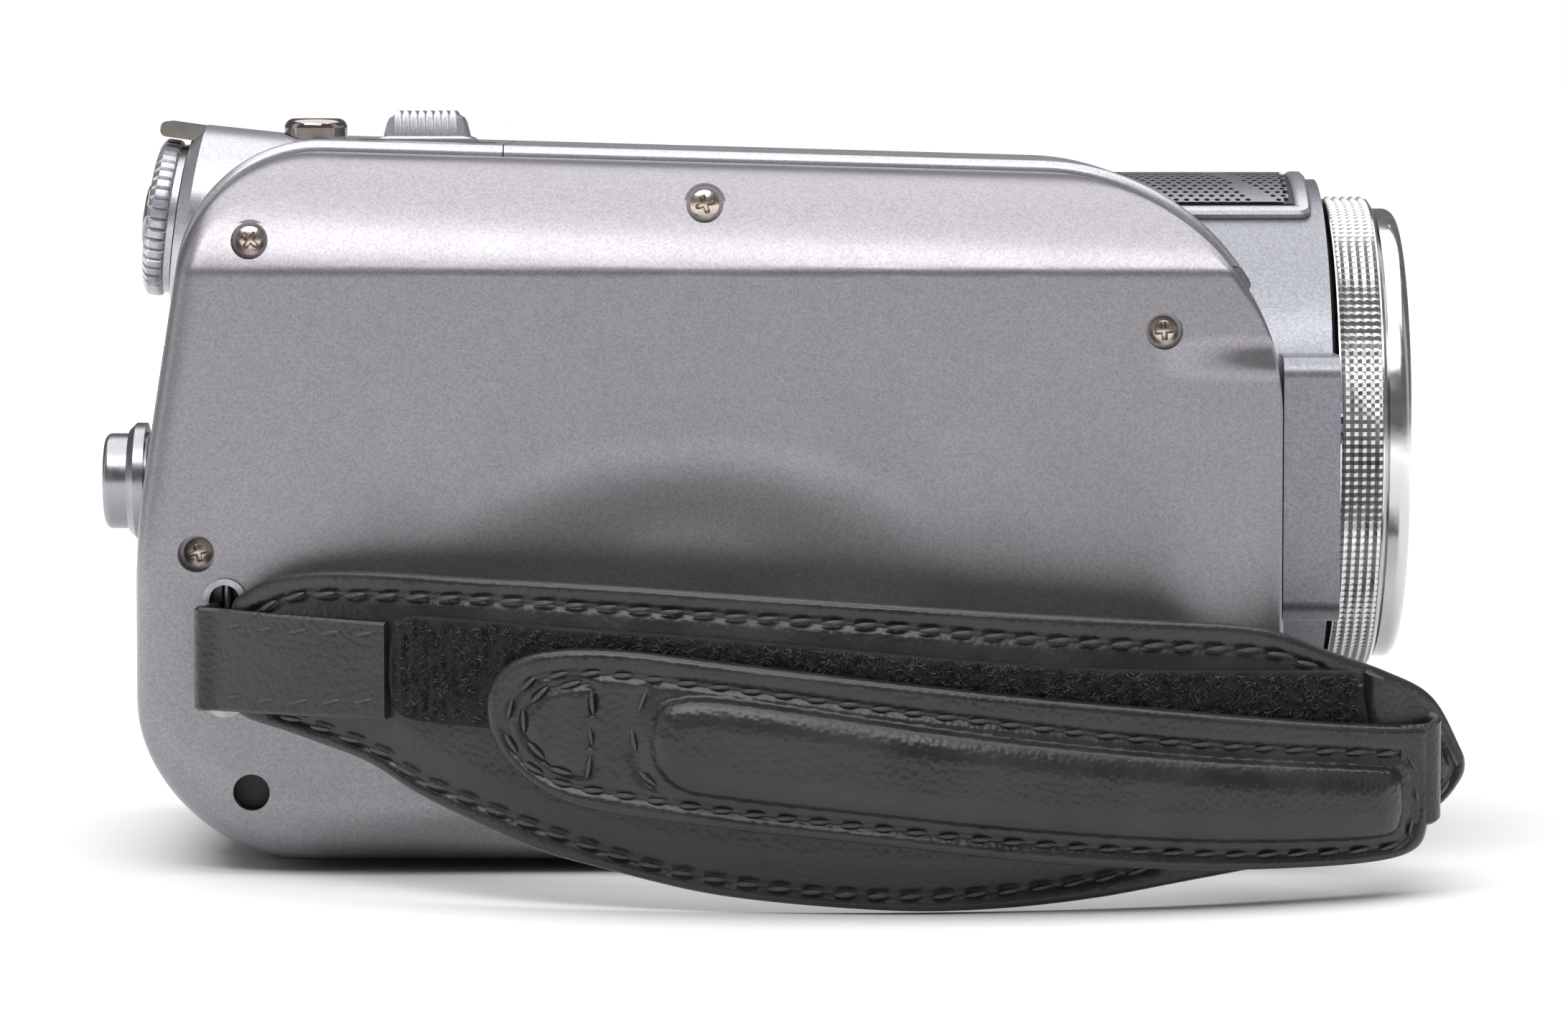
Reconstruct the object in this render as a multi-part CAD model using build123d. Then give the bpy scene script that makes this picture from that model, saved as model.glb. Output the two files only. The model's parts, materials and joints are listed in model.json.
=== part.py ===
from build123d import *
import math
import os

# Compact hard-disk camcorder with a leather hand strap, in millimetres.
# +X points out of the lens, +Y towards the fold-out screen, +Z up.
# The origin is the mouth of the tripod socket, on the underside below the lens axis.
# The casing is a centre band (top, rear, base and front housing) between two side covers.

# ---------------------------------------------------------------- casing, seen from the side
CASING_LENGTH = 108.8
SOCKET_TO_REAR = 61.5
CASING_HEIGHT = 68.9
CROWN = 1.1            # how far the centre band stands proud of the side covers
TOP_FALL = 2.9         # the top comes down by this towards the lens
LEAN_START_Z = 32.0    # above this height the rear face leans forward
REAR_LEAN = 5.8
REAR_BOTTOM_R = 16.0
REAR_WAIST_R = 60.0
REAR_TOP_R = 13.0
FRONT_TOP_R = 23.0
FRONT_BOTTOM_R = 18.0

REAR_X = -SOCKET_TO_REAR
FRONT_X = CASING_LENGTH - SOCKET_TO_REAR

# ---------------------------------------------------------------- casing, across
CASING_WIDTH = 60.0
LENS_TO_LEFT = 27.0
SIDE_COVER_DEPTH = 12.5
LEFT_COVER_DEPTH = 13.0
WALL = 1.8
SEAM = 0.12            # gap that shows between two casing pieces
FIT = 0.15             # clearance round a piece that seats in an opening
RUNNING = 0.05         # radial clearance of a turning or sliding fit
SHOULDER_R = SIDE_COVER_DEPTH - 0.5
FACE_CUT = 0.25        # planes the shoulder off, which leaves the crease round the flat face
LEFT_EDGE_R = 4.0
BAND_EDGE_R = 1.0

RIGHT_FACE_Y = LENS_TO_LEFT - CASING_WIDTH
LEFT_FACE_Y = LENS_TO_LEFT
RIGHT_SEAM_Y = RIGHT_FACE_Y + SIDE_COVER_DEPTH
LEFT_SEAM_Y = LEFT_FACE_Y - LEFT_COVER_DEPTH
REAR_FACE_X = REAR_X - CROWN

# where the centre band is split
DECK_SEAM_X = -27.0
DECK_SPLIT_Z = CASING_HEIGHT - 19.0
TOP_SPLIT_Z = CASING_HEIGHT - 11.5
BASE_REAR_X = REAR_X + REAR_BOTTOM_R + 0.5
HOUSING_X = FRONT_X - FRONT_BOTTOM_R - 5.0

# ---------------------------------------------------------------- lens
LENS_Z = CASING_HEIGHT - 28.6
SHROUD_R = 25.2
SHROUD_WALL = 1.6
SHROUD_REACH = 5.3
SHROUD_TAIL = 17.3
BARREL_R = 20.4
RING_R = 23.5
RING_WIDTH = 4.9
RING_GAP = 0.5
FRONT_RING_R = 22.3
FRONT_RING_LIP = 2.2
FILTER_BORE_R = 18.1
NAME_RING_R = FILTER_BORE_R - 0.6
LENS_SEAT_R = 12.0
LENS_HOUSING_R = 15.0
LENS_HOUSING_WALL = 1.5

SHROUD_X0 = FRONT_X - SHROUD_TAIL
SHROUD_X1 = FRONT_X + SHROUD_REACH
RING_X0 = SHROUD_X1 + RING_GAP
RING_X1 = RING_X0 + RING_WIDTH
SLEEVE_X0 = RING_X0 + 2.6
LENS_FRONT_X = RING_X1 + 0.3 + FRONT_RING_LIP
LENS_SEAT_X = SLEEVE_X0 - 2.5
SENSOR_X = -9.0

# cheek beside the shroud, and the nose of the side cover behind it
NOSE_OUT = 2.5         # the nose is this far inside the cover's flat face
NOSE_LOW_Z = LENS_Z - 16.3
NOSE_HIGH_Z = LENS_Z + 9.0
NOSE_LENGTH = 12.0
NOSE_EDGE_R = 2.0
NOSE_Y = RIGHT_FACE_Y + NOSE_OUT
LAMP_R = 2.0
SENSOR_WINDOW_R = 1.6

# microphone on top of the shroud
MIC_LENGTH = 19.9
MIC_THICKNESS = 0.8
MIC_HALF_ANGLE = 31.0
MIC_RIM = 1.6
MIC_FRONT_GAP = 1.2

# ---------------------------------------------------------------- controls
DIAL_R = 7.7
DIAL_THICKNESS = 2.2
DIAL_TILT = 8.0
DIAL_HUB_R = 5.0
DIAL_HUB_LENGTH = 6.0
DIAL_Y = -9.0
POD_R = 9.6
POD_LENGTH = 18.0
POD_BEVEL = 1.2
POD_FACE = 3.1         # the pod starts this far behind the dial's rear face
OK_BUTTON_R = 3.1
DIAL_CENTRE = (REAR_X - 0.4, DIAL_Y, CASING_HEIGHT - 6.8)

CONTROL_Y = DIAL_Y
PHOTO_X = REAR_X + 15.7
PHOTO_R = 3.05
PHOTO_TRAVEL = 0.8
ZOOM_X = REAR_X + 26.6
ZOOM_LENGTH = 9.7
ZOOM_WIDTH = 8.0
ZOOM_HEIGHT = 3.3
ZOOM_TRAVEL = 1.5
ZOOM_POST = 2.4

RECORD_Z = 36.0
RECORD_Y = -8.0
RECORD_R = 4.7
RECORD_TRAVEL = 0.8
RECORD_STANDS = 4.1    # how far the button stands out of the rear face
RECORD_BEZEL_R = 5.75
RECORD_BEZEL_STANDS = 1.7

# ---------------------------------------------------------------- fold-out screen
SCREEN_GAP = 0.4
SCREEN_THICKNESS = 8.0
SCREEN_MARGIN_REAR = 21.0
SCREEN_MARGIN_LOW = 10.0
SCREEN_MARGIN_HIGH = 10.0
SCREEN_CORNER_R = 6.0
SCREEN_RIM = 5.0
SCREEN_SPLIT = 0.45    # share of the thickness that the inner bezel takes
HINGE_R = 3.6
HINGE_PIN_R = 1.2
HINGE_FROM_FRONT = 7.6
HINGE_EAR = 6.0
HINGE_BLOCK_MARGIN = 10.0
TWIST_SHAFT_R = 2.0

HINGE_X = FRONT_X - HINGE_FROM_FRONT
HINGE_Y = LEFT_FACE_Y + SCREEN_GAP + SCREEN_THICKNESS / 2
SCREEN_X0 = REAR_X + SCREEN_MARGIN_REAR
SCREEN_X1 = HINGE_X - HINGE_R - 0.8
SCREEN_Z0 = SCREEN_MARGIN_LOW
SCREEN_Z1 = CASING_HEIGHT - SCREEN_MARGIN_HIGH
KEY_R = 2.4
KEY_PITCH = 10.0
KEY_TRAVEL = 0.5
SPEAKER_R = 7.0

# ---------------------------------------------------------------- inside
CHASSIS_THICKNESS = 1.2
CHASSIS_Y = RIGHT_SEAM_Y + 1.3
DISK_THICKNESS = 8.0
DISK_MARGIN_LOW = 7.2
DISK_MARGIN_HIGH = 8.0
DISK_MARGIN_REAR = 17.0
BOARD_THICKNESS = 1.4
BATTERY_LENGTH = 27.0
BATTERY_THICKNESS = 10.0
BATTERY_MARGIN_HIGH = 20.0
BATTERY_TOP_Z = CASING_HEIGHT - BATTERY_MARGIN_HIGH

# ---------------------------------------------------------------- base
TRIPOD_BORE_R = 2.56
TRIPOD_DEPTH = 6.0
TRIPOD_INSERT_R = 4.5
TRIPOD_PIN_X = 14.0
TRIPOD_PIN_R = 2.25
TRIPOD_PIN_DEPTH = 4.0
DOOR_THICKNESS = 1.5

# ---------------------------------------------------------------- rear jacks
FLAP_WIDTH = 16.0
FLAP_HEIGHT = 12.0
FLAP_THICKNESS = 1.2
FLAP_LOW_Z = REAR_BOTTOM_R + CROWN + 1.0

# ---------------------------------------------------------------- screws of the side cover
SCREW_HEAD_R = 1.4
SCREW_HEAD_HEIGHT = 1.0
SCREW_SHANK_R = 0.8
SCREW_LENGTH = 6.0
SCREW_WELL_R = 1.75
SCREW_BOSS_R = 2.8
# x, z and how far the seat of the head lies behind the flat face
SCREWS = [
    (REAR_X + 11.0, CASING_HEIGHT - 8.6, 2.6),
    (REAR_X + 54.0, CASING_HEIGHT - 5.2, 3.8),
    (FRONT_X - 11.4, CASING_HEIGHT - 17.1, 1.6),
    (REAR_X + 5.9, 30.7, 2.8),
]
EMPTY_SCREW_WELL = (REAR_X + 11.0, 8.0, 2.8)

# ---------------------------------------------------------------- hand strap
STRAP_SLOT_LENGTH = 13.2
STRAP_SLOT_WIDTH = 4.1
STRAP_BEZEL_LIP = 0.3
STRAP_BEZEL_WALL = 0.3
STRAP_BEZEL_DEPTH = 5.5
STRAP_PIN_R = 0.5
STRAP_BAND_T = 0.8
STRAP_BAND_WIDTH = 10.0
REAR_SLOT = (REAR_X + 8.6, 21.8)
FRONT_SLOT = (FRONT_X - 5.0, 16.5)
STRAP_CLEAR = 0.05
PAD_T = 2.2
VELCRO_T = 1.2
TONGUE_T = 4.4
STRAP_BULGE = 25.5     # how far the pad's middle stands off the cover
STRAP_SLIT = 4.6
STRAP_STAND = 3.6      # how far its ends stand off the cover
STRAP_REACH = 17.5     # how far the pad's tip reaches past the casing's front


# ================================================================ helpers
def block(x0, x1, y0, y1, z0, z1):
    """A box between two corners."""
    return Pos((x0 + x1) / 2, (y0 + y1) / 2, (z0 + z1) / 2) * Box(x1 - x0, y1 - y0, z1 - z0)


def rod_x(radius, x0, x1, y=0.0, z=LENS_Z):
    return extrude(Plane.YZ.offset(x0) * Pos(y, z) * Circle(radius), amount=x1 - x0)


def rod_y(radius, y0, y1, x, z):
    return extrude(Plane.XZ.offset(-y1) * Pos(x, z) * Circle(radius), amount=y1 - y0)


def rod_z(radius, z0, z1, x=0.0, y=0.0):
    return extrude(Plane.XY.offset(z0) * Pos(x, y) * Circle(radius), amount=z1 - z0)


def slab(face, y0, y1):
    """A face drawn in X and Z, made solid from y0 to y1."""
    return extrude(Plane.XZ.offset(-y1) * face, amount=y1 - y0)


def casing_face(grow=0.0):
    """The casing's outline from the side, moved outwards by grow."""
    corners = [
        (REAR_X, CROWN),
        (REAR_X, LEAN_START_Z),
        (REAR_X + REAR_LEAN, CASING_HEIGHT),
        (FRONT_X, CASING_HEIGHT - TOP_FALL),
        (FRONT_X, CROWN),
    ]
    radii = [REAR_BOTTOM_R, REAR_WAIST_R, REAR_TOP_R, FRONT_TOP_R, FRONT_BOTTOM_R]
    face = make_face(FilletPolyline(*corners, radius=radii, close=True))
    return offset(face, grow) if grow else face


def side_edges(solid, highest):
    """The edges of a slab's face at its highest or lowest y."""
    return solid.faces().sort_by(Axis.Y)[-1 if highest else 0].edges()


def top_z(x):
    """Height of the centre band's top face at x."""
    share = (x - REAR_X - REAR_LEAN) / (FRONT_X - REAR_X - REAR_LEAN)
    return CASING_HEIGHT - TOP_FALL * share + CROWN


def nose_section(grow=0.0):
    """Cross-section of the cheek beside the lens, in Y and Z."""
    width = RIGHT_SEAM_Y - NOSE_Y + 2 * grow
    height = NOSE_HIGH_Z - NOSE_LOW_Z + 2 * grow
    centre = ((RIGHT_SEAM_Y + NOSE_Y) / 2, (NOSE_HIGH_Z + NOSE_LOW_Z) / 2)
    face = Pos(*centre) * Rectangle(width, height)
    outer = face.vertices().sort_by(Axis.X)[:2]
    return fillet(outer, NOSE_EDGE_R + grow)


def nose(x0, x1, grow=0.0):
    return extrude(Plane.YZ.offset(x0) * nose_section(grow), amount=x1 - x0)


def shroud_space(clearance):
    """What the lens shroud and its microphone take out of the covers round them."""
    shroud = rod_x(SHROUD_R + clearance, SHROUD_X0 - clearance, LENS_FRONT_X)
    return shroud + mic_blank(MIC_HALF_ANGLE, clearance, 0.0)


def mic_blank(half_angle, clearance, inset):
    """A curved strip on top of the shroud, within half_angle of the vertical."""
    x1 = SHROUD_X1 - MIC_FRONT_GAP - inset + clearance
    x0 = SHROUD_X1 - MIC_FRONT_GAP - MIC_LENGTH + inset - clearance
    reach = 2 * SHROUD_R
    spread = reach * math.tan(math.radians(half_angle)) + clearance
    wedge_face = make_face(Polyline((0, 0), (-spread, reach), (spread, reach), close=True))
    wedge = extrude(Plane.YZ.offset(x0) * Pos(0, LENS_Z) * wedge_face, amount=x1 - x0)
    strip = rod_x(SHROUD_R + MIC_THICKNESS + clearance, x0, x1) - rod_x(SHROUD_R, x0, x1)
    return strip & wedge


def dial_plane():
    """Plane on the mode dial's rear face: its z points out of the dial, its y up."""
    tilt = math.radians(DIAL_TILT)
    return Plane(origin=DIAL_CENTRE, x_dir=(0, -1, 0), z_dir=(-math.cos(tilt), 0, math.sin(tilt)))


def dial_rod(radius, depth0, depth1):
    """A round about the dial's axis, from depth0 to depth1 behind its rear face."""
    return extrude(dial_plane().offset(-depth1) * Circle(radius), amount=depth1 - depth0)


def one(shape):
    """The largest solid of a shape, without the scraps that a split leaves."""
    return shape.solids().sort_by(SortBy.VOLUME)[-1]


# ================================================================ casing
def band():
    """The centre band: a closed ring round the casing, between the two covers."""
    ring = slab(casing_face(CROWN), RIGHT_SEAM_Y + SEAM, LEFT_SEAM_Y - SEAM)
    ring = fillet(side_edges(ring, True), BAND_EDGE_R)
    ring = fillet(side_edges(ring, False), BAND_EDGE_R)
    return ring - slab(casing_face(-WALL), RIGHT_SEAM_Y - 1, LEFT_SEAM_Y + 1)


def screw_seat_y(back):
    return RIGHT_FACE_Y + back


def cover_cavity(gap, y1):
    """The space behind the side cover, up to y1, with a gap left all round."""
    space = slab(casing_face(-WALL - gap), RIGHT_FACE_Y + WALL + gap, y1)
    return fillet(side_edges(space, False), SHOULDER_R - WALL - gap)


def side_cover():
    outer = slab(casing_face(), RIGHT_FACE_Y - FACE_CUT, RIGHT_SEAM_Y)
    outer = fillet(side_edges(outer, False), SHOULDER_R)
    outer = split(outer, bisect_by=Plane.XZ.offset(-RIGHT_FACE_Y), keep=Keep.BOTTOM)
    outer += nose(FRONT_X - NOSE_LENGTH, FRONT_X)
    cover = outer - cover_cavity(0.0, RIGHT_SEAM_Y + 1)
    cover -= nose(FRONT_X - NOSE_LENGTH, FRONT_X - WALL, -WALL)
    for x, z, back in [*SCREWS, EMPTY_SCREW_WELL]:
        seat = screw_seat_y(back)
        cover += rod_y(SCREW_BOSS_R, RIGHT_FACE_Y, seat + WALL, x, z) & outer
        cover -= rod_y(SCREW_WELL_R, RIGHT_FACE_Y - 1, seat, x, z)
        cover -= rod_y(SCREW_SHANK_R + FIT, seat - 1, seat + SCREW_LENGTH + FIT, x, z)
    for x, z in (REAR_SLOT, FRONT_SLOT):
        cover -= slot_solid(x, z, -STRAP_BEZEL_LIP, RIGHT_FACE_Y - 1, RIGHT_SEAM_Y)
    cover -= shroud_space(FIT)
    return one(cover)


def left_cover():
    outer = slab(casing_face(), LEFT_SEAM_Y, LEFT_FACE_Y)
    outer = fillet(side_edges(outer, True), LEFT_EDGE_R)
    inner = slab(casing_face(-WALL), LEFT_SEAM_Y - 1, LEFT_FACE_Y - WALL)
    inner = fillet(side_edges(inner, True), LEFT_EDGE_R - WALL)
    cover = outer - inner - shroud_space(FIT)
    for z0, z1 in ear_spans():
        cover += rod_z(HINGE_R, z0, z1, HINGE_X, HINGE_Y)
        cover += block(HINGE_X - HINGE_R, HINGE_X + HINGE_R, LEFT_FACE_Y - WALL, HINGE_Y, z0, z1)
        cover -= rod_z(HINGE_PIN_R, z0 + 1.5, z1 + 1, HINGE_X, HINGE_Y)
    low, high = ear_spans()
    cover -= rod_z(HINGE_PIN_R, high[0] - 1, high[1] - 1.5, HINGE_X, HINGE_Y)
    for x, z in key_places():
        cover -= rod_y(KEY_R + FIT, LEFT_FACE_Y - WALL - 1, LEFT_FACE_Y + 1, x, z)
    for hole in speaker_holes():
        cover -= hole
    return one(cover)


def dial_pod():
    """Round housing behind the mode dial: it levels out to meet the top as it runs forward."""
    front_x = REAR_X + POD_LENGTH
    front = Plane(origin=(front_x, DIAL_Y, top_z(front_x) - POD_R), x_dir=(0, -1, 0), z_dir=(-1, 0, 0))
    rear = dial_plane().offset(-POD_FACE - POD_BEVEL)
    body = loft([rear * Circle(POD_R), front * Circle(POD_R)])
    face = dial_plane().offset(-POD_FACE)
    return body + loft([face * Circle(POD_R - POD_BEVEL), rear * Circle(POD_R)])


def rear_deck(ring):
    """The top behind the seam, with the pod that carries the mode dial."""
    reach = 2 * CASING_LENGTH
    deck = ring & block(-reach, DECK_SEAM_X - SEAM / 2, -reach, reach, DECK_SPLIT_Z + SEAM, reach)
    pod = dial_pod()
    pod &= block(-reach, DECK_SEAM_X, RIGHT_SEAM_Y + SEAM, reach, DECK_SPLIT_Z + SEAM, reach)
    inside = slab(casing_face(-WALL), RIGHT_SEAM_Y - 1, LEFT_SEAM_Y + 1)
    deck += pod - inside
    deck += dial_rod(DIAL_HUB_R + 1.2, 6.0, POD_FACE + DIAL_HUB_LENGTH + 1.3)
    deck -= dial_rod(DIAL_HUB_R + RUNNING, 0, POD_FACE + DIAL_HUB_LENGTH)
    deck -= dial_rod(1.5 + RUNNING, 0, POD_LENGTH)
    seat = top_z(PHOTO_X)
    deck += rod_z(PHOTO_R + 1.2, seat - 4.0, seat - 0.8, PHOTO_X, CONTROL_Y)
    deck -= rod_z(PHOTO_R + FIT, seat - 1.9, seat + 3, PHOTO_X, CONTROL_Y)
    deck -= rod_z(1.0 + RUNNING, seat - 6, seat, PHOTO_X, CONTROL_Y)
    seat = zoom_seat_z()
    half = ZOOM_LENGTH / 2 + ZOOM_TRAVEL + 0.4
    deck -= block(ZOOM_X - half, ZOOM_X + half, CONTROL_Y - ZOOM_WIDTH / 2 - FIT,
                  CONTROL_Y + ZOOM_WIDTH / 2 + FIT, seat, seat + 4)
    half = ZOOM_POST / 2 + ZOOM_TRAVEL + FIT
    deck -= block(ZOOM_X - half, ZOOM_X + half, CONTROL_Y - ZOOM_POST / 2 - FIT,
                  CONTROL_Y + ZOOM_POST / 2 + FIT, seat - 5, seat + 1)
    return one(deck)


def top_cover(ring):
    reach = 2 * CASING_LENGTH
    cover = ring & block(DECK_SEAM_X + SEAM / 2, reach, -reach, reach, TOP_SPLIT_Z + SEAM, reach)
    return one(cover - shroud_space(FIT))


def rear_panel(ring):
    reach = 2 * CASING_LENGTH
    panel = ring & block(-reach, BASE_REAR_X - SEAM, -reach, reach, -reach, DECK_SPLIT_Z)
    x0 = REAR_FACE_X - 1
    panel -= rod_x(RECORD_R + 0.1, x0, REAR_FACE_X + 1.3, RECORD_Y, RECORD_Z)
    panel -= rod_x(2.0 + RUNNING, x0, REAR_X + WALL + 1, RECORD_Y, RECORD_Z)
    half = FLAP_WIDTH / 2 + FIT
    panel -= block(x0, REAR_FACE_X + FLAP_THICKNESS + FIT, -half, half,
                   FLAP_LOW_Z - FIT, FLAP_LOW_Z + FLAP_HEIGHT + FIT)
    half -= 1.5
    panel -= block(x0, REAR_X + WALL + 1, -half, half,
                   FLAP_LOW_Z + 2.5, FLAP_LOW_Z + FLAP_HEIGHT - 1.2)
    panel -= rod_y(0.35 + RUNNING, -half - 3, half + 3, *flap_axis())
    return one(panel)


def base_plate(ring):
    reach = 2 * CASING_LENGTH
    plate = ring & block(BASE_REAR_X, HOUSING_X - SEAM, -reach, reach, -reach, LEAN_START_Z / 2)
    boss = TRIPOD_INSERT_R + 2.5
    plate += block(-boss, TRIPOD_PIN_X + TRIPOD_PIN_R + 2, -boss, boss, CROWN, TRIPOD_DEPTH + 0.6)
    plate -= rod_z(TRIPOD_INSERT_R, -1, TRIPOD_DEPTH + 2)
    plate -= rod_z(TRIPOD_PIN_R, -1, TRIPOD_PIN_DEPTH, TRIPOD_PIN_X)
    x0, x1, y0, y1 = battery_span()
    plate -= block(x0 - 1.6 - FIT, x1 + 1 + FIT, y0 - 1 - FIT, y1 + 1 + FIT, -1, DOOR_THICKNESS + 0.4)
    plate -= block(x0, x1, y0, y1, -1, CROWN + WALL + 1)
    plate -= rod_y(0.35 + RUNNING, y0 - 2.5, y1 + 2.0, *door_axis())
    for x, y in base_screw_places():
        plate -= rod_z(SCREW_WELL_R, -1, 1.2, x, y)
        plate -= rod_z(SCREW_SHANK_R + FIT, 0, CROWN + WALL + 1, x, y)
    return one(plate)


def front_housing(ring):
    """The lens shroud with its cheek and the front of the centre band, in one piece."""
    reach = 2 * CASING_LENGTH
    front = ring & block(HOUSING_X, reach, -reach, reach, -reach, TOP_SPLIT_Z)
    shroud = rod_x(SHROUD_R, SHROUD_X0, SHROUD_X1)
    cheek = nose(FRONT_X + SEAM, SHROUD_X1 + 0.2) - rod_x(SHROUD_R - 1, FRONT_X, SHROUD_X1 + 1)
    x, z, back = SCREWS[2]
    boss = rod_y(SCREW_BOSS_R - 0.6, screw_seat_y(back) + WALL + FIT, -SHROUD_R / 2, x, z)
    front = front + shroud + cheek + boss
    front -= rod_x(SHROUD_R - SHROUD_WALL, SHROUD_X0 - 1, SHROUD_X1 + 1)
    front -= rod_y(SCREW_SHANK_R, RIGHT_FACE_Y, -SHROUD_R / 2, x, z)
    front -= rod_x(LAMP_R + FIT, SHROUD_X1 - 1.4, SHROUD_X1 + 1, *lamp_place())
    front -= rod_x(SENSOR_WINDOW_R + FIT, SHROUD_X1 - 1.4, SHROUD_X1 + 1, *window_place())
    return one(front)


def lamp_place():
    return NOSE_Y + LAMP_R + 1.0, NOSE_HIGH_Z - 6.5


def window_place():
    return NOSE_Y + LAMP_R + 1.0, NOSE_LOW_Z + 8.0


# ================================================================ lens and microphone
def mic_frame():
    return mic_blank(MIC_HALF_ANGLE, 0.0, 0.0) - mic_blank(MIC_HALF_ANGLE - 4.5, 0.0, MIC_RIM)


def mic_grille():
    sheet = mic_blank(MIC_HALF_ANGLE - 4.6, 0.0, MIC_RIM + RUNNING)
    return sheet & rod_x(SHROUD_R + MIC_THICKNESS - 0.3, SHROUD_X0, SHROUD_X1)


def focus_ring():
    ring = rod_x(RING_R, RING_X0, RING_X1)
    ring = chamfer(ring.edges().filter_by(GeomType.CIRCLE), 0.35)
    return ring - rod_x(BARREL_R + RUNNING, RING_X0 - 1, RING_X1 + 1)


def front_ring():
    flange = rod_x(FRONT_RING_R, RING_X1 + 0.3, LENS_FRONT_X)
    flange = fillet(flange.edges().sort_by(Axis.X)[-1], 1.2)
    sleeve = rod_x(BARREL_R, SLEEVE_X0, RING_X1 + 0.3)
    return flange + sleeve - rod_x(FILTER_BORE_R, SLEEVE_X0 - 1, LENS_FRONT_X + 1)


def lens_barrel():
    """Stepped tube in the shroud that carries the front element."""
    barrel = rod_x(BARREL_R, SHROUD_X0 - 1, SLEEVE_X0)
    barrel += rod_x(SHROUD_R - SHROUD_WALL - RUNNING, SHROUD_X1 - 6, SHROUD_X1 - 4)
    barrel -= rod_x(LENS_SEAT_R - 1.5, SHROUD_X0 - 2, SLEEVE_X0 + 1)
    barrel -= rod_x(LENS_SEAT_R + RUNNING, LENS_SEAT_X - 5.0, SLEEVE_X0 + 1)
    return barrel - rod_x(NAME_RING_R + FIT, LENS_SEAT_X, SLEEVE_X0 + 1)


def front_lens():
    """Front element: a disc with a domed outer face."""
    dome_r = 26.0
    disc = rod_x(LENS_SEAT_R, LENS_SEAT_X - 4.0, LENS_SEAT_X + 1.2)
    return disc & Pos(LENS_SEAT_X + 1.0 - dome_r, 0, LENS_Z) * Sphere(dome_r)


def name_ring():
    """Black ring between the front element and the filter thread."""
    ring = rod_x(NAME_RING_R, LENS_SEAT_X + 0.05, SLEEVE_X0 - 0.1)
    mouth = Plane.YZ.offset(LENS_SEAT_X - 0.1) * Pos(0, LENS_Z) * Circle(LENS_SEAT_R - 1.4)
    return ring - extrude(mouth, amount=4.0, taper=-30)


def lens_housing():
    """Tube behind the barrel, closed at the back round the image sensor's window."""
    x1 = SHROUD_X0 - 1
    tube = rod_x(LENS_HOUSING_R, SENSOR_X + 1, x1)
    tube -= rod_x(LENS_HOUSING_R - LENS_HOUSING_WALL, SENSOR_X + 3, x1 - 2)
    tube -= rod_x(LENS_SEAT_R - 1.5, x1 - 3, x1 + 1)
    return tube - block(SENSOR_X, SENSOR_X + 4, -4, 4, LENS_Z - 3, LENS_Z + 3)


ROD_OFFSET = LENS_HOUSING_R - LENS_HOUSING_WALL - 2.2


def zoom_guide_rods():
    rods = [rod_x(0.8, SENSOR_X + 3, SHROUD_X0 - 3, 0, LENS_Z + s * ROD_OFFSET) for s in (-1, 1)]
    return Compound(children=rods)


def zoom_carriage():
    x0 = SENSOR_X + 17.0
    carriage = rod_x(LENS_HOUSING_R - LENS_HOUSING_WALL - 0.5, x0, x0 + 5)
    carriage -= rod_x(8.0, x0 - 1, x0 + 6)
    for side in (-1, 1):
        carriage -= rod_x(0.8 + RUNNING, x0 - 1, x0 + 6, 0, LENS_Z + side * ROD_OFFSET)
    return carriage


def zoom_lens():
    x0 = SENSOR_X + 17.0
    disc = rod_x(8.0, x0 + 0.5, x0 + 4.5)
    return disc & Pos(x0 + 4.5 - 20, 0, LENS_Z) * Sphere(20)


def iris_plate():
    x0 = SHROUD_X0 + 1.0
    return rod_x(LENS_SEAT_R - 1.5 - FIT, x0, x0 + 1) - rod_x(5.0, x0 - 1, x0 + 2)


def image_sensor():
    return block(SENSOR_X - 0.4, SENSOR_X + 1, -5, 5, LENS_Z - 4, LENS_Z + 4)


def sensor_board():
    return block(SENSOR_X - 1.6, SENSOR_X - 0.4, -10, 10, LENS_Z - 10, LENS_Z + 10)


# ================================================================ controls
def mode_dial():
    dial = dial_rod(DIAL_R, 0, DIAL_THICKNESS)
    dial = chamfer(dial.edges().filter_by(GeomType.CIRCLE), 0.3)
    seat = POD_FACE - 0.1
    dial += dial_rod(DIAL_R - 0.8, DIAL_THICKNESS, seat)
    dial += dial_rod(DIAL_HUB_R, seat, seat + DIAL_HUB_LENGTH)
    return dial - dial_rod(OK_BUTTON_R + RUNNING, -1, 4.0) - dial_rod(1.5 + RUNNING, 3, 12)


def ok_button():
    cap = dial_rod(OK_BUTTON_R, -0.6, 2.4)
    cap = fillet(cap.faces().sort_by(Axis.X)[0].edges(), 0.4)
    return cap + dial_rod(1.5, 2.4, 11.0)


def dial_index():
    """Bright lug on the pod's rim that the dial's marks are read against."""
    plane = dial_plane()
    lug = plane * Pos(0, DIAL_R + 1.0, -2.2) * Box(7.0, 1.5, 4.4)
    lug = fillet(lug.edges().filter_by(Axis.Y), 0.6)
    return lug - dial_rod(DIAL_R + 0.12, -1, POD_FACE) - dial_pod()


def photo_button():
    seat = top_z(PHOTO_X)
    cap = rod_z(PHOTO_R, seat - 0.9, seat + 1.9, PHOTO_X, CONTROL_Y)
    cap = fillet(cap.faces().sort_by(Axis.Z)[-1].edges(), 0.9)
    return cap + rod_z(1.0, seat - 5.0, seat - 0.9, PHOTO_X, CONTROL_Y)


def zoom_seat_z():
    """Floor of the recess that the zoom lever runs in."""
    return top_z(ZOOM_X + ZOOM_LENGTH / 2) - 0.9


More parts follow.
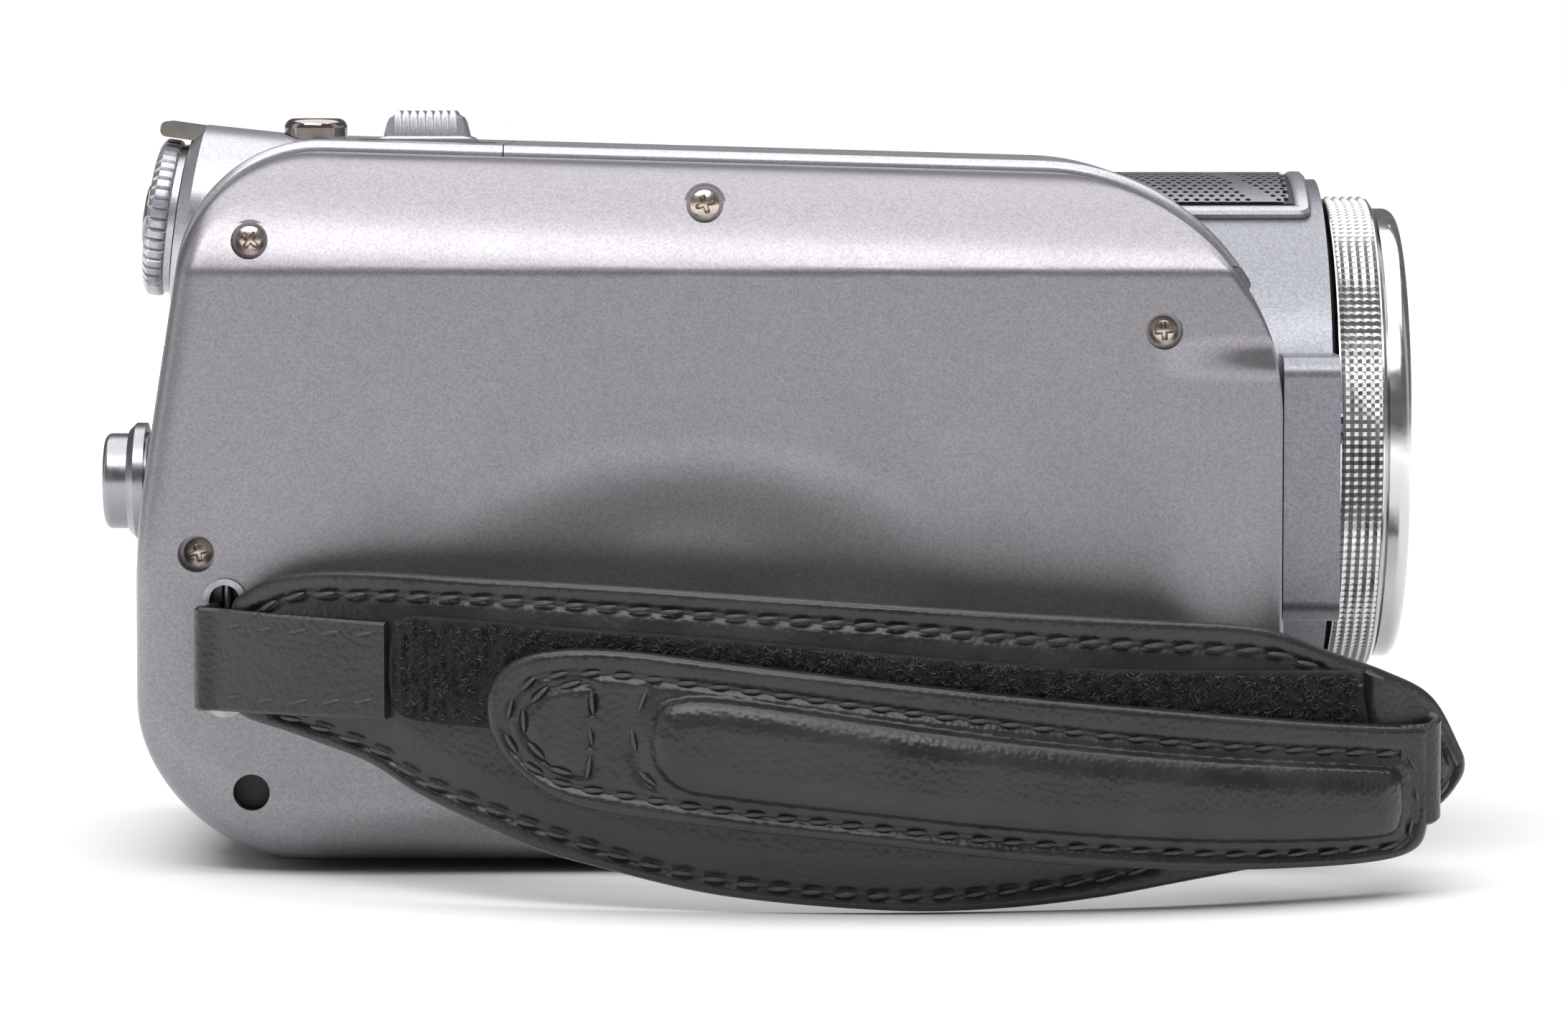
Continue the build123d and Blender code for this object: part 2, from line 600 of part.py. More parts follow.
def zoom_lever():
    seat = zoom_seat_z()
    low, high = seat + 0.45, seat + 0.45 + ZOOM_HEIGHT
    half = ZOOM_LENGTH / 2
    side = Polyline((-half, 0), (half, 0), (half, 0.9), (half - 1.3, ZOOM_HEIGHT),
                    (-half + 2.0, ZOOM_HEIGHT), (-half, 0.9), close=True)
    lever = slab(Pos(ZOOM_X, low) * make_face(side), CONTROL_Y - ZOOM_WIDTH / 2,
                 CONTROL_Y + ZOOM_WIDTH / 2)
    lever = fillet(lever.edges().filter_by(Axis.Y).sort_by(Axis.Z)[-2:], 0.5)
    pitch = 0.85
    for step in range(7):
        x = ZOOM_X - half + 2.6 + step * pitch
        lever += rod_y(0.28, CONTROL_Y - ZOOM_WIDTH / 2 + 0.5, CONTROL_Y + ZOOM_WIDTH / 2 - 0.5,
                       x, high)
    post = ZOOM_POST / 2
    lever += block(ZOOM_X - post, ZOOM_X + post, CONTROL_Y - post, CONTROL_Y + post,
                   CASING_HEIGHT - WALL - CROWN - 2.2, low + 0.2)
    return lever


def record_button():
    head = rod_x(RECORD_R, REAR_FACE_X - RECORD_STANDS, REAR_FACE_X + 0.2, RECORD_Y, RECORD_Z)
    head = fillet(head.faces().sort_by(Axis.X)[0].edges(), 0.7)
    return head + rod_x(2.0, REAR_FACE_X, REAR_FACE_X + 6, RECORD_Y, RECORD_Z)


def record_bezel():
    x0 = REAR_FACE_X - RECORD_BEZEL_STANDS
    disc = rod_x(RECORD_BEZEL_R, x0, REAR_FACE_X, RECORD_Y, RECORD_Z)
    disc = chamfer(disc.faces().sort_by(Axis.X)[0].edges(), 0.7)
    return disc - rod_x(RECORD_R + 0.1, x0 - 1, REAR_FACE_X + 1, RECORD_Y, RECORD_Z)


# ================================================================ rear jacks
def flap_axis():
    """x and z of the jack flap's hinge pin."""
    return REAR_FACE_X + FLAP_THICKNESS - 0.55, FLAP_LOW_Z + 0.6


def jack_flap():
    flap = block(REAR_FACE_X, REAR_FACE_X + FLAP_THICKNESS, -FLAP_WIDTH / 2, FLAP_WIDTH / 2,
                 FLAP_LOW_Z + 0.6, FLAP_LOW_Z + FLAP_HEIGHT)
    x, z = flap_axis()
    flap += rod_y(0.55, -FLAP_WIDTH / 2, FLAP_WIDTH / 2, x, z)
    return flap - rod_y(0.35 + RUNNING, -FLAP_WIDTH, FLAP_WIDTH, x, z)


def flap_pin():
    half = FLAP_WIDTH / 2 + 1.3
    return rod_y(0.35, -half, half, *flap_axis())


def jack_block():
    """Moulded block with the power, data and picture jacks."""
    x0 = REAR_X + WALL + 1.2
    z = FLAP_LOW_Z + FLAP_HEIGHT / 2 + 0.6
    body = block(x0, x0 + 7, -7, 7, z - 4.4, z + 4.4)
    body -= rod_x(1.8, x0 - 1, x0 + 5.5, -4.6, z)
    body -= block(x0 - 1, x0 + 5.5, -1.9, 2.5, z - 1.3, z + 1.3)
    return body - rod_x(1.4, x0 - 1, x0 + 5.5, 5.0, z)


# ================================================================ screen
def screen_face(inset=0.0):
    width = SCREEN_X1 - SCREEN_X0 - 2 * inset
    height = SCREEN_Z1 - SCREEN_Z0 - 2 * inset
    centre = Pos((SCREEN_X0 + SCREEN_X1) / 2, (SCREEN_Z0 + SCREEN_Z1) / 2)
    return centre * RectangleRounded(width, height, max(SCREEN_CORNER_R - inset, 1.0))


SCREEN_INNER_Y = LEFT_FACE_Y + SCREEN_GAP
SCREEN_MID_Y = SCREEN_INNER_Y + SCREEN_THICKNESS * SCREEN_SPLIT
SCREEN_OUTER_Y = SCREEN_INNER_Y + SCREEN_THICKNESS


def twist_shaft_space(grow):
    return rod_x(TWIST_SHAFT_R + grow, SCREEN_X1 - SCREEN_RIM - grow, HINGE_X, HINGE_Y,
                 (SCREEN_Z0 + SCREEN_Z1) / 2)


def screen_bezel():
    frame = slab(screen_face(), SCREEN_INNER_Y, SCREEN_MID_Y - SEAM / 2)
    frame -= slab(screen_face(SCREEN_RIM), SCREEN_INNER_Y - 1, SCREEN_MID_Y - 1.2)
    frame -= slab(screen_face(SCREEN_RIM + 2), SCREEN_INNER_Y - 1, SCREEN_MID_Y + 1)
    return frame - twist_shaft_space(RUNNING)


def screen_glass():
    return slab(screen_face(SCREEN_RIM + RUNNING), SCREEN_INNER_Y + 0.3, SCREEN_INNER_Y + 1.1)


def display_module():
    return slab(screen_face(SCREEN_RIM + 2.2), SCREEN_INNER_Y + 1.2, SCREEN_MID_Y + 0.8)


def screen_back():
    shell = slab(screen_face(), SCREEN_MID_Y + SEAM / 2, SCREEN_OUTER_Y)
    shell = fillet(side_edges(shell, True), 2.0)
    shell -= slab(screen_face(WALL), SCREEN_MID_Y - 1, SCREEN_OUTER_Y - WALL)
    return shell - twist_shaft_space(RUNNING)


def ear_spans():
    low = SCREEN_Z0 + HINGE_BLOCK_MARGIN
    high = SCREEN_Z1 - HINGE_BLOCK_MARGIN
    return (low - HINGE_EAR, low - 0.1), (high + 0.1, high + HINGE_EAR)


def hinge_block():
    """Barrel that turns on the hinge pin, with the cross shaft that the panel is carried on."""
    low = SCREEN_Z0 + HINGE_BLOCK_MARGIN
    high = SCREEN_Z1 - HINGE_BLOCK_MARGIN
    piece = rod_z(HINGE_R, low, high, HINGE_X, HINGE_Y) + twist_shaft_space(0.0)
    return piece - rod_z(HINGE_PIN_R + RUNNING, low - 1, high + 1, HINGE_X, HINGE_Y)


def screen_pin():
    low, high = ear_spans()
    return rod_z(HINGE_PIN_R, low[0] + 1.5, high[1] - 1.5, HINGE_X, HINGE_Y)


def key_places():
    middle = (SCREEN_Z0 + SCREEN_Z1) / 2
    return [(SCREEN_X0 + 10.0, middle + step * KEY_PITCH) for step in (-1, 0, 1)]


def key(index):
    x, z = key_places()[index]
    cap = rod_y(KEY_R, LEFT_FACE_Y - WALL - 1.4, LEFT_FACE_Y + 0.15, x, z)
    return cap + rod_y(KEY_R + 0.8, LEFT_FACE_Y - WALL - 1.4, LEFT_FACE_Y - WALL - 0.1, x, z)


def speaker_place():
    return 2.0, SCREEN_Z0 + SPEAKER_R + 4.0


def speaker_holes():
    x, z = speaker_place()
    places = [(x, z)]
    for radius, count in ((2.3, 6), (4.6, 12)):
        places += [(x + radius * math.cos(math.tau * i / count),
                    z + radius * math.sin(math.tau * i / count)) for i in range(count)]
    return [rod_y(0.55, LEFT_FACE_Y - WALL - 1, LEFT_FACE_Y + 1, *p) for p in places]


def speaker():
    x, z = speaker_place()
    driver = rod_y(SPEAKER_R, LEFT_FACE_Y - WALL - 1.6, LEFT_FACE_Y - WALL - 0.1, x, z)
    return driver + rod_y(SPEAKER_R - 3, LEFT_FACE_Y - WALL - 3.4, LEFT_FACE_Y - WALL - 1.6, x, z)


# ================================================================ inside
def chassis():
    """Pressed plate between the disk bay and the electronics, with the cover's bosses."""
    back_y = CHASSIS_Y + CHASSIS_THICKNESS
    plate = slab(casing_face(), CHASSIS_Y, back_y)
    wells = [SCREWS[0], SCREWS[1], SCREWS[3], EMPTY_SCREW_WELL]
    for x, z, back in wells:
        plate += rod_y(SCREW_BOSS_R - 0.6, screw_seat_y(back) + WALL + FIT, back_y, x, z)
    plate &= cover_cavity(0.3, back_y)
    plate &= block(-CASING_LENGTH, SHROUD_X0 - 2, RIGHT_FACE_Y, back_y, 0, 2 * CASING_HEIGHT)
    for x, z, back in wells:
        plate -= rod_y(SCREW_SHANK_R, screw_seat_y(back), back_y + 1, x, z)
    x0, x1, y0, _, z0, z1 = board_span()
    for x in (x0 + 3, x1 - 3):
        for z in (z0 + 3, z1 - 3):
            plate += rod_y(1.5, back_y, y0, x, z)
    return plate


def disk_span():
    x0 = REAR_X + DISK_MARGIN_REAR
    y1 = CHASSIS_Y - 1.6
    return (x0, SHROUD_X0 - 4, y1 - DISK_THICKNESS, y1, DISK_MARGIN_LOW,
            CASING_HEIGHT - DISK_MARGIN_HIGH - 1.0)


def hard_disk():
    drive = block(*disk_span())
    return fillet(drive.edges().filter_by(Axis.Y), 1.5)


def disk_dampers():
    """Four soft pads that hold the drive off the chassis."""
    x0, x1, _, y1, z0, z1 = disk_span()
    pads = [rod_y(2.5, y1, CHASSIS_Y, x, z) for x in (x0 + 5, x1 - 5) for z in (z0 + 5, z1 - 5)]
    return Compound(children=pads)


def board_span():
    y0 = CHASSIS_Y + CHASSIS_THICKNESS + 2.0
    return REAR_X + 9.5, SENSOR_X - 5, y0, y0 + BOARD_THICKNESS, 9.0, CASING_HEIGHT - 22


def main_board():
    """Board with a processor and two memory chips on its inner side."""
    x0, x1, _, y1, z0, z1 = board_span()
    board = block(*board_span()) + block(x0 + 12, x0 + 26, y1, y1 + 1.3, z0 + 9, z0 + 23)
    for z in (z0 + 9, z0 + 19):
        board += block(x1 - 8, x1 - 2, y1, y1 + 1.1, z, z + 8)
    return board


def battery_span():
    x1 = SENSOR_X - 5.0
    y0 = 1.5
    return x1 - BATTERY_LENGTH, x1, y0, y0 + BATTERY_THICKNESS


def battery():
    x0, x1, y0, y1 = battery_span()
    pack = block(x0 + FIT, x1 - FIT, y0 + FIT, y1 - FIT, DOOR_THICKNESS + 0.6, BATTERY_TOP_Z)
    return fillet(pack.edges().filter_by(Axis.Z), 1.2)


def battery_bay():
    """Box round the battery, standing on the base plate and open below."""
    x0, x1, y0, y1 = battery_span()
    roof = BATTERY_TOP_Z + 1.4
    bay = block(x0 - 1, x1 + 1, y0 - 1, y1 + 1, CROWN + WALL, roof + 1)
    bay -= block(x0, x1, y0, y1, 0, roof)
    return bay


def battery_contacts():
    """Sprung contact strip on the roof of the bay."""
    x0, x1, y0, y1 = battery_span()
    return block(x0 + 6, x1 - 6, y0 + 2, y1 - 2, BATTERY_TOP_Z, BATTERY_TOP_Z + 1.4)


# ================================================================ base
def door_axis():
    """x and z of the battery door's hinge pin."""
    return battery_span()[0] - 0.8, 0.75


def battery_door():
    x0, x1, y0, y1 = battery_span()
    x, z = door_axis()
    door = block(x, x1 + 1, y0 - 1, y1 + 1, 0, DOOR_THICKNESS) + rod_y(0.75, y0 - 1, y1 + 1, x, z)
    return door - rod_y(0.35 + RUNNING, y0 - 3, y1 + 3, x, z)


def door_pin():
    _, _, y0, y1 = battery_span()
    return rod_y(0.35, y0 - 2.3, y1 + 1.8, *door_axis())


def tripod_socket():
    insert = rod_z(TRIPOD_INSERT_R, 0, TRIPOD_DEPTH + 0.6)
    return insert - rod_z(TRIPOD_BORE_R, -1, TRIPOD_DEPTH)


def base_screw_places():
    return [(HOUSING_X - 4.0, RIGHT_SEAM_Y + 5.0), (BASE_REAR_X + 4.0, RIGHT_SEAM_Y + 5.0),
            (HOUSING_X - 4.0, LEFT_SEAM_Y - 5.0)]


# ================================================================ screws
def cross_recess(depth):
    bar = Box(2 * SCREW_HEAD_R * 0.6, 0.4, depth)
    return bar + Rot(0, 0, 90) * bar


def screw(length):
    """Pan-head cross-recessed screw: its head's seat at the origin, its shank along +Z."""
    head = Pos(0, 0, -SCREW_HEAD_HEIGHT / 2) * Cylinder(SCREW_HEAD_R, SCREW_HEAD_HEIGHT)
    head = fillet(head.faces().sort_by(Axis.Z)[0].edges(), 0.35)
    head -= Pos(0, 0, -SCREW_HEAD_HEIGHT) * cross_recess(1.0)
    return head + Pos(0, 0, length / 2) * Cylinder(SCREW_SHANK_R, length)


def side_cover_screws():
    turned = [Pos(x, screw_seat_y(back), z) * Rot(-90, 0, 0) * Rot(0, 0, 20 * i) * screw(SCREW_LENGTH)
              for i, (x, z, back) in enumerate(SCREWS)]
    return Compound(children=turned)


def base_screws():
    return Compound(children=[Pos(x, y, 1.2) * screw(3.2) for x, y in base_screw_places()])


# ================================================================ hand strap
STRAP_X0 = REAR_X + 9.0
STRAP_X1 = FRONT_X + STRAP_REACH
STRAP_MID_X = (STRAP_X0 + STRAP_X1) / 2
STRAP_CHORD = (STRAP_X1 - STRAP_X0) / 2
STRAP_SAG = STRAP_BULGE - STRAP_STAND
STRAP_R = (STRAP_CHORD ** 2 + STRAP_SAG ** 2) / (2 * STRAP_SAG)
STRAP_CY = RIGHT_FACE_Y - STRAP_BULGE + STRAP_R
STRAP_PIN_Y = RIGHT_FACE_Y + 2.6
BAND_INNER = PAD_T + STRAP_CLEAR
TONGUE_INNER = BAND_INNER + VELCRO_T + STRAP_CLEAR
REAR_TAB_END = STRAP_X0 + 15.6
TONGUE_START = STRAP_X0 + 26.0
TONGUE_END = STRAP_X1 - 7.0
SLIT_X = STRAP_X1 - 11.6


def slot_solid(x, z, grow, y0, y1):
    """A tall slot with round ends, grown all round, from y0 to y1."""
    width = STRAP_SLOT_WIDTH + 2 * grow
    length = STRAP_SLOT_LENGTH + 2 * grow
    return slab(Pos(x, z) * SlotOverall(length, width, rotation=90), y0, y1)


def strap_pin(x, z):
    """Pin across a slot, seated in both ends of its bezel."""
    half = STRAP_SLOT_LENGTH / 2 - STRAP_BEZEL_LIP - STRAP_BEZEL_WALL / 2
    return rod_z(STRAP_PIN_R, z - half, z + half, x, STRAP_PIN_Y)


def strap_bezel(x, z):
    back_y = RIGHT_FACE_Y + STRAP_BEZEL_DEPTH
    rim = slot_solid(x, z, 0.0, RIGHT_FACE_Y - 0.5, RIGHT_FACE_Y)
    cup = slot_solid(x, z, -STRAP_BEZEL_LIP, RIGHT_FACE_Y, back_y)
    space = slot_solid(x, z, -STRAP_BEZEL_LIP - STRAP_BEZEL_WALL, RIGHT_FACE_Y - 2, back_y - 0.6)
    return rim + cup - space - strap_pin(x, z)


def strap_curve(x, height):
    """y of the strap's curve at x, height outside the pad's back face."""
    return STRAP_CY - math.sqrt((STRAP_R + height) ** 2 - (x - STRAP_MID_X) ** 2)


def layer(inner, thickness, outline):
    """A band that stands upright along the strap's curve, cut to an outline in X and Z."""
    ring = rod_z(STRAP_R + inner + thickness, -1, CASING_HEIGHT, STRAP_MID_X, STRAP_CY)
    ring -= rod_z(STRAP_R + inner, -2, CASING_HEIGHT + 1, STRAP_MID_X, STRAP_CY)
    return one(ring & slab(outline, 2 * RIGHT_FACE_Y - STRAP_BULGE, RIGHT_FACE_Y - 0.6))


def on_strap(x, height):
    return x, strap_curve(x, height)


def upright_band(points, radii, z, width):
    """A leather band on edge: its route in X and Y, extruded to its width about z."""
    face = trace(FilletPolyline(*points, radius=radii), line_width=STRAP_BAND_T)
    return Pos(0, 0, z - width / 2) * extrude(face, amount=width)


def pin_loop(x, side):
    """Points of a band that comes in at one side of a slot, rounds its pin and goes out again."""
    half = STRAP_PIN_R + RUNNING + STRAP_BAND_T / 2
    y1 = STRAP_PIN_Y + half
    return [(x - side * half, RIGHT_FACE_Y - 1.6), (x - side * half, y1), (x + side * half, y1)]


def pad_outline():
    """Leaf shape of the hand pad, in X and Z."""
    edge = Spline((STRAP_X0 + 1, 25.0), (STRAP_X0 + 14, 29.0), (STRAP_MID_X, 27.2),
                  (STRAP_X1 - 20, 23.4), (STRAP_X1, 11.5), (STRAP_X1 - 25, 2.6),
                  (STRAP_MID_X, 0.4), (STRAP_X0 + 22, 5.6), (STRAP_X0 + 1, 16.2))
    return make_face([edge, Line(edge @ 1, edge @ 0)])


def hand_pad():
    """Leaf pad behind the hand, with a slit at its front that the front band runs through."""
    slit = block(SLIT_X - STRAP_SLIT / 2, SLIT_X + STRAP_SLIT / 2, 3 * RIGHT_FACE_Y, RIGHT_FACE_Y,
                 FRONT_SLOT[1] - STRAP_BAND_WIDTH / 2 - 1, FRONT_SLOT[1] + STRAP_BAND_WIDTH / 2 + 1)
    return layer(0.0, PAD_T, pad_outline()) - slit


def rear_tab():
    """Leather band from the rear pin, folded back over the outside of the pad."""
    x, z = REAR_SLOT
    low, high = z - STRAP_BAND_WIDTH / 2, z + STRAP_BAND_WIDTH / 2
    start = STRAP_X0 + 1.0
    join = on_strap(start, BAND_INNER + STRAP_BAND_T / 2)
    fold = (x - 2.9, join[1] + 0.8)
    route = [*pin_loop(x, -1), (x - 1.0, RIGHT_FACE_Y - 2.0), fold, join]
    face = make_face(Polyline((start, low), (start, high), (REAR_TAB_END, high - 1.0),
                              (REAR_TAB_END, low - 1.0), close=True))
    return (upright_band(route, [0.8, 0.8, 0.8, 0.8], z, STRAP_BAND_WIDTH)
            + layer(BAND_INNER, STRAP_BAND_T, face))


def velcro_band():
    """Loop-faced band along the outside of the pad, from the rear tab to the pad's slit."""
    x0, x1 = REAR_TAB_END + 0.1, SLIT_X - 1.2
    face = make_face(Polyline((x0, 14.6), (x0, 25.8), (x1, 20.6), (x1, 9.6), close=True))
    return layer(BAND_INNER, VELCRO_T, face)


def front_band():
    """Leather band from the front pin out through the pad's slit, up to the tongue's end."""
    x, z = FRONT_SLOT
    low = BAND_INNER + STRAP_BAND_T / 2 + 2 * STRAP_CLEAR
    high = TONGUE_INNER + TONGUE_T / 2
    route = [*pin_loop(x, 1), (x + 1.0, RIGHT_FACE_Y - 2.0), on_strap(SLIT_X - 2.5, -4.0),
             on_strap(SLIT_X + 0.8, low), on_strap(TONGUE_END + 2.8, low),
             on_strap(TONGUE_END + 3.1, high), on_strap(TONGUE_END + 0.4, high)]
    return upright_band(route, [0.8, 0.8, 0.8, 0.8, 0.8, 1.4, 1.4], z, STRAP_BAND_WIDTH)


def strap_tongue():
    """Padded outer flap of the strap, which closes over the loop-faced band."""
    face = make_face(Polyline((TONGUE_START, 9.0), (TONGUE_START + 1, 20.0), (TONGUE_START + 14, 22.0),
                              (TONGUE_END, 17.0), (TONGUE_END, 2.8), (TONGUE_END - 16, 2.6),
                              (TONGUE_START + 14, 6.8), close=True))
    return layer(TONGUE_INNER, TONGUE_T, face)


# ================================================================ the whole object
def build_parts():
    ring = band()
    parts = {
        "side_cover": side_cover(),
        "left_cover": left_cover(),
        "rear_deck": rear_deck(ring),
        "top_cover": top_cover(ring),
        "rear_panel": rear_panel(ring),
        "base_plate": base_plate(ring),
        "front_housing": front_housing(ring),
        "mic_frame": mic_frame(),
        "mic_grille": mic_grille(),
        "focus_ring": focus_ring(),
        "front_ring": front_ring(),
        "lens_barrel": lens_barrel(),
        "front_lens": front_lens(),
        "name_ring": name_ring(),
        "lens_housing": lens_housing(),
        "zoom_guide_rods": zoom_guide_rods(),
        "zoom_carriage": zoom_carriage(),
        "zoom_lens": zoom_lens(),
        "iris_plate": iris_plate(),
        "image_sensor": image_sensor(),
        "sensor_board": sensor_board(),
        "mode_dial": mode_dial(),
        "ok_button": ok_button(),
        "dial_index": dial_index(),
        "photo_button": photo_button(),
        "zoom_lever": zoom_lever(),
        "record_button": record_button(),
        "record_bezel": record_bezel(),
        "jack_flap": jack_flap(),
        "jack_block": jack_block(),
        "screen_bezel": screen_bezel(),
        "screen_glass": screen_glass(),
        "display_module": display_module(),
        "screen_back": screen_back(),
        "hinge_block": hinge_block(),
        "hinge_pins": Compound(children=[screen_pin(), door_pin(), flap_pin()]),
        "speaker": speaker(),
        "chassis": chassis(),
        "hard_disk": hard_disk(),
        "disk_dampers": disk_dampers(),
        "main_board": main_board(),
        "battery": battery(),
        "battery_bay": battery_bay(),
        "battery_contacts": battery_contacts(),
        "battery_door": battery_door(),
        "tripod_socket": tripod_socket(),
        "side_cover_screws": side_cover_screws(),
        "base_screws": base_screws(),
        "lamp_lens": rod_x(LAMP_R, SHROUD_X1 - 1.4, SHROUD_X1 + 0.5, *lamp_place()),
        "remote_window": rod_x(SENSOR_WINDOW_R, SHROUD_X1 - 1.4, SHROUD_X1 + 0.2, *window_place()),
        "strap_bezels": Compound(children=[strap_bezel(*REAR_SLOT), strap_bezel(*FRONT_SLOT)]),
        "strap_pins": Compound(children=[strap_pin(*REAR_SLOT), strap_pin(*FRONT_SLOT)]),
        "hand_pad": hand_pad(),
        "velcro_band": velcro_band(),
        "rear_tab": rear_tab(),
        "front_band": front_band(),
        "strap_tongue": strap_tongue(),
    }
    for index, name in enumerate(("play_key", "menu_key", "delete_key")):
        parts[name] = key(index)
    return parts


os.makedirs("parts", exist_ok=True)
for name, shape in build_parts().items():
    export_step(shape, f"parts/{name}.step")
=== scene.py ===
# %% [markdown]
# # A hard-disk camcorder with a leather hand strap
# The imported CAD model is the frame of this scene. Each node that already has the right shape keeps it
# and only gets a finish. Covers whose rounding changes along their edge, knurls, perforations and
# everything sewn are made here as surfaces worked out with numpy, in the same place and size.

# %% Load the frame
import json
import math

import bmesh
import bpy
import numpy as np
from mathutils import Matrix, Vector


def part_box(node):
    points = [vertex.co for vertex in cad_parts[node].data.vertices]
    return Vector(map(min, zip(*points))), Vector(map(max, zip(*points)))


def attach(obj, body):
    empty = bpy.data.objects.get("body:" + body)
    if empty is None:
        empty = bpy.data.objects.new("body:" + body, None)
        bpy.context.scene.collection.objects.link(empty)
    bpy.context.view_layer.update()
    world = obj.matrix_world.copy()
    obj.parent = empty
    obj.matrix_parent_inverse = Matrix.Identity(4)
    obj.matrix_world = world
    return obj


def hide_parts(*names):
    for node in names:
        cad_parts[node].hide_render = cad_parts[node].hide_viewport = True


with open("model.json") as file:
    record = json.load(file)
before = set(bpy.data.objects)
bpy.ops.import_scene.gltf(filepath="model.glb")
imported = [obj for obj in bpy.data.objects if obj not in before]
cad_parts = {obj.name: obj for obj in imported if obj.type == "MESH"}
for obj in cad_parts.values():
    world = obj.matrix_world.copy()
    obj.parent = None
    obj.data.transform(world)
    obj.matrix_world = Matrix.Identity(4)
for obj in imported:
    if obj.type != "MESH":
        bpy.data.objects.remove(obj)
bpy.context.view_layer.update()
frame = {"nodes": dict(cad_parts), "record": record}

MM = 0.001
nodes = frame["nodes"]
body_of_node = {n: b for b, members in frame["record"]["behaviour"]["bodies"].items() for n in members}

# %% [markdown]
# ## The studio
# The camcorder stands on a white table under a wide overhead softbox, with the room in front of it
# much dimmer. Metallic paint has no colour of its own to speak of: it shows what it faces, so the
# bright ceiling and the dim room are what separates the rounded shoulder from the flat side.

# %% Camera, table and lights
def add_camera(location, pitch_down, lens):
    """A camera that looks along +y, tilted down by pitch_down radians."""
    data = bpy.data.cameras.new("camera")
    data.lens = lens
    data.clip_start = 0.05
    camera = bpy.data.objects.new("camera", data)
    camera.location = location
    camera.rotation_euler = (math.pi / 2 - pitch_down, 0, 0)
    bpy.context.scene.collection.objects.link(camera)
    bpy.context.scene.camera = camera
    return camera


def add_softbox(name, location, target, size, power):
    """A rectangular area light of that size in metres and power in watts, aimed at the target."""
    data = bpy.data.lights.new(name, "AREA")
    data.shape = "RECTANGLE"
    data.size, data.size_y = size
    data.energy = power
    lamp = bpy.data.objects.new(name, data)
    lamp.location = location
    aim = np.subtract(target, location)
    lamp.rotation_euler = (math.atan2(math.hypot(aim[0], aim[1]), -aim[2]), 0,
                           math.atan2(aim[1], aim[0]) - math.pi / 2)
    bpy.context.scene.collection.objects.link(lamp)
    return lamp


CAMERA_HEIGHT = 0.0775
CAMERA_DISTANCE = 0.630
add_camera((0, -CAMERA_DISTANCE, CAMERA_HEIGHT), math.radians(4.055), 145.4)
middle = (0, 0, 0.035)
add_softbox("ceiling", (0, 0.10, 1.00), middle, (1.6, 1.3), 15.0)
add_softbox("ceiling_front", (-0.16, -0.62, 0.80), middle, (1.0, 0.36), 6.6)
add_softbox("left_wall", (-1.1, -0.10, 0.45), middle, (0.5, 0.9), 1.0)
add_softbox("right_wall", (1.1, -0.15, 0.45), middle, (0.5, 0.9), 0.7)
bpy.context.scene.view_settings.view_transform = "Standard"

# %% [markdown]
# ## Small helpers
# Colours are written as a paint shop gives them, in sRGB hex, and turned to linear once. `add` makes
# one shader node, sets its values and joins its inputs, so a material reads as a list of nodes.

# %% Colour and node helpers
def linear(colour):
    """sRGB hex to linear: c/12.92 below 0.04045, and ((c + 0.055)/1.055)^2.4 above."""
    c = np.array([int(colour[i:i + 2], 16) for i in (1, 3, 5)]) / 255
    c = np.where(c <= 0.04045, c / 12.92, ((c + 0.055) / 1.055) ** 2.4)
    return (*c.tolist(), 1.0)


def add(tree, kind, values=(), links=(), **settings):
    """One node: attributes from settings, socket values from values, joins from links."""
    node = tree.nodes.new(kind)
    for name, value in settings.items():
        setattr(node, name, value)
    for name, value in dict(values).items():
        node.inputs[name].default_value = value
    for name, source in dict(links).items():
        tree.links.new(source, node.inputs[name])
    return node


def new_material(name, **values):
    """A material with its Principled shader, whose constant values are set on its own sockets."""
    material = bpy.data.materials.new(name)
    material.use_nodes = True
    tree = material.node_tree
    shader = tree.nodes["Principled BSDF"]
    for key, value in values.items():
        shader.inputs[key.replace("_", " ")].default_value = value
    return material, tree, shader


def per_mm(size):
    """Texture scale, in object coordinates, for a feature of that many millimetres."""
    return 1000.0 / size


def ramp(tree, source, low, high, dark, light):
    """The source's range from low to high, turned to colours from dark to light."""
    node = add(tree, "ShaderNodeMapRange", {"From Min": low, "From Max": high}, {"Value": source})
    mix = add(tree, "ShaderNodeMix", links={"Factor": node.outputs["Result"]}, data_type="RGBA")
    mix.inputs["A"].default_value = linear(dark)
    mix.inputs["B"].default_value = linear(light)
    return mix.outputs["Result"]


def span(tree, source, low, high):
    """The source, about 0 to 1, turned to a number from low to high."""
    node = add(tree, "ShaderNodeMapRange", {"From Min": 0.3, "From Max": 0.7, "To Min": low,
                                            "To Max": high}, {"Value": source})
    return node.outputs["Result"]


def object_space(tree):
    """Coordinates that ride with the piece, in metres."""
    return add(tree, "ShaderNodeTexCoord").outputs["Object"]


def grain(tree, size, detail=2.0, vector=None):
    """Smooth noise, about 0.3 to 0.7, with features of size millimetres."""
    vector = vector or object_space(tree)
    return add(tree, "ShaderNodeTexNoise", {"Scale": per_mm(size), "Detail": detail},
               {"Vector": vector}).outputs["Fac"]


def bump(tree, shader, height, distance_mm, strength=1.0):
    """Raises the surface by height times distance_mm."""
    node = add(tree, "ShaderNodeBump", {"Strength": strength, "Distance": distance_mm * MM},
               {"Height": height})
    tree.links.new(node.outputs["Normal"], shader.inputs["Normal"])
    return node


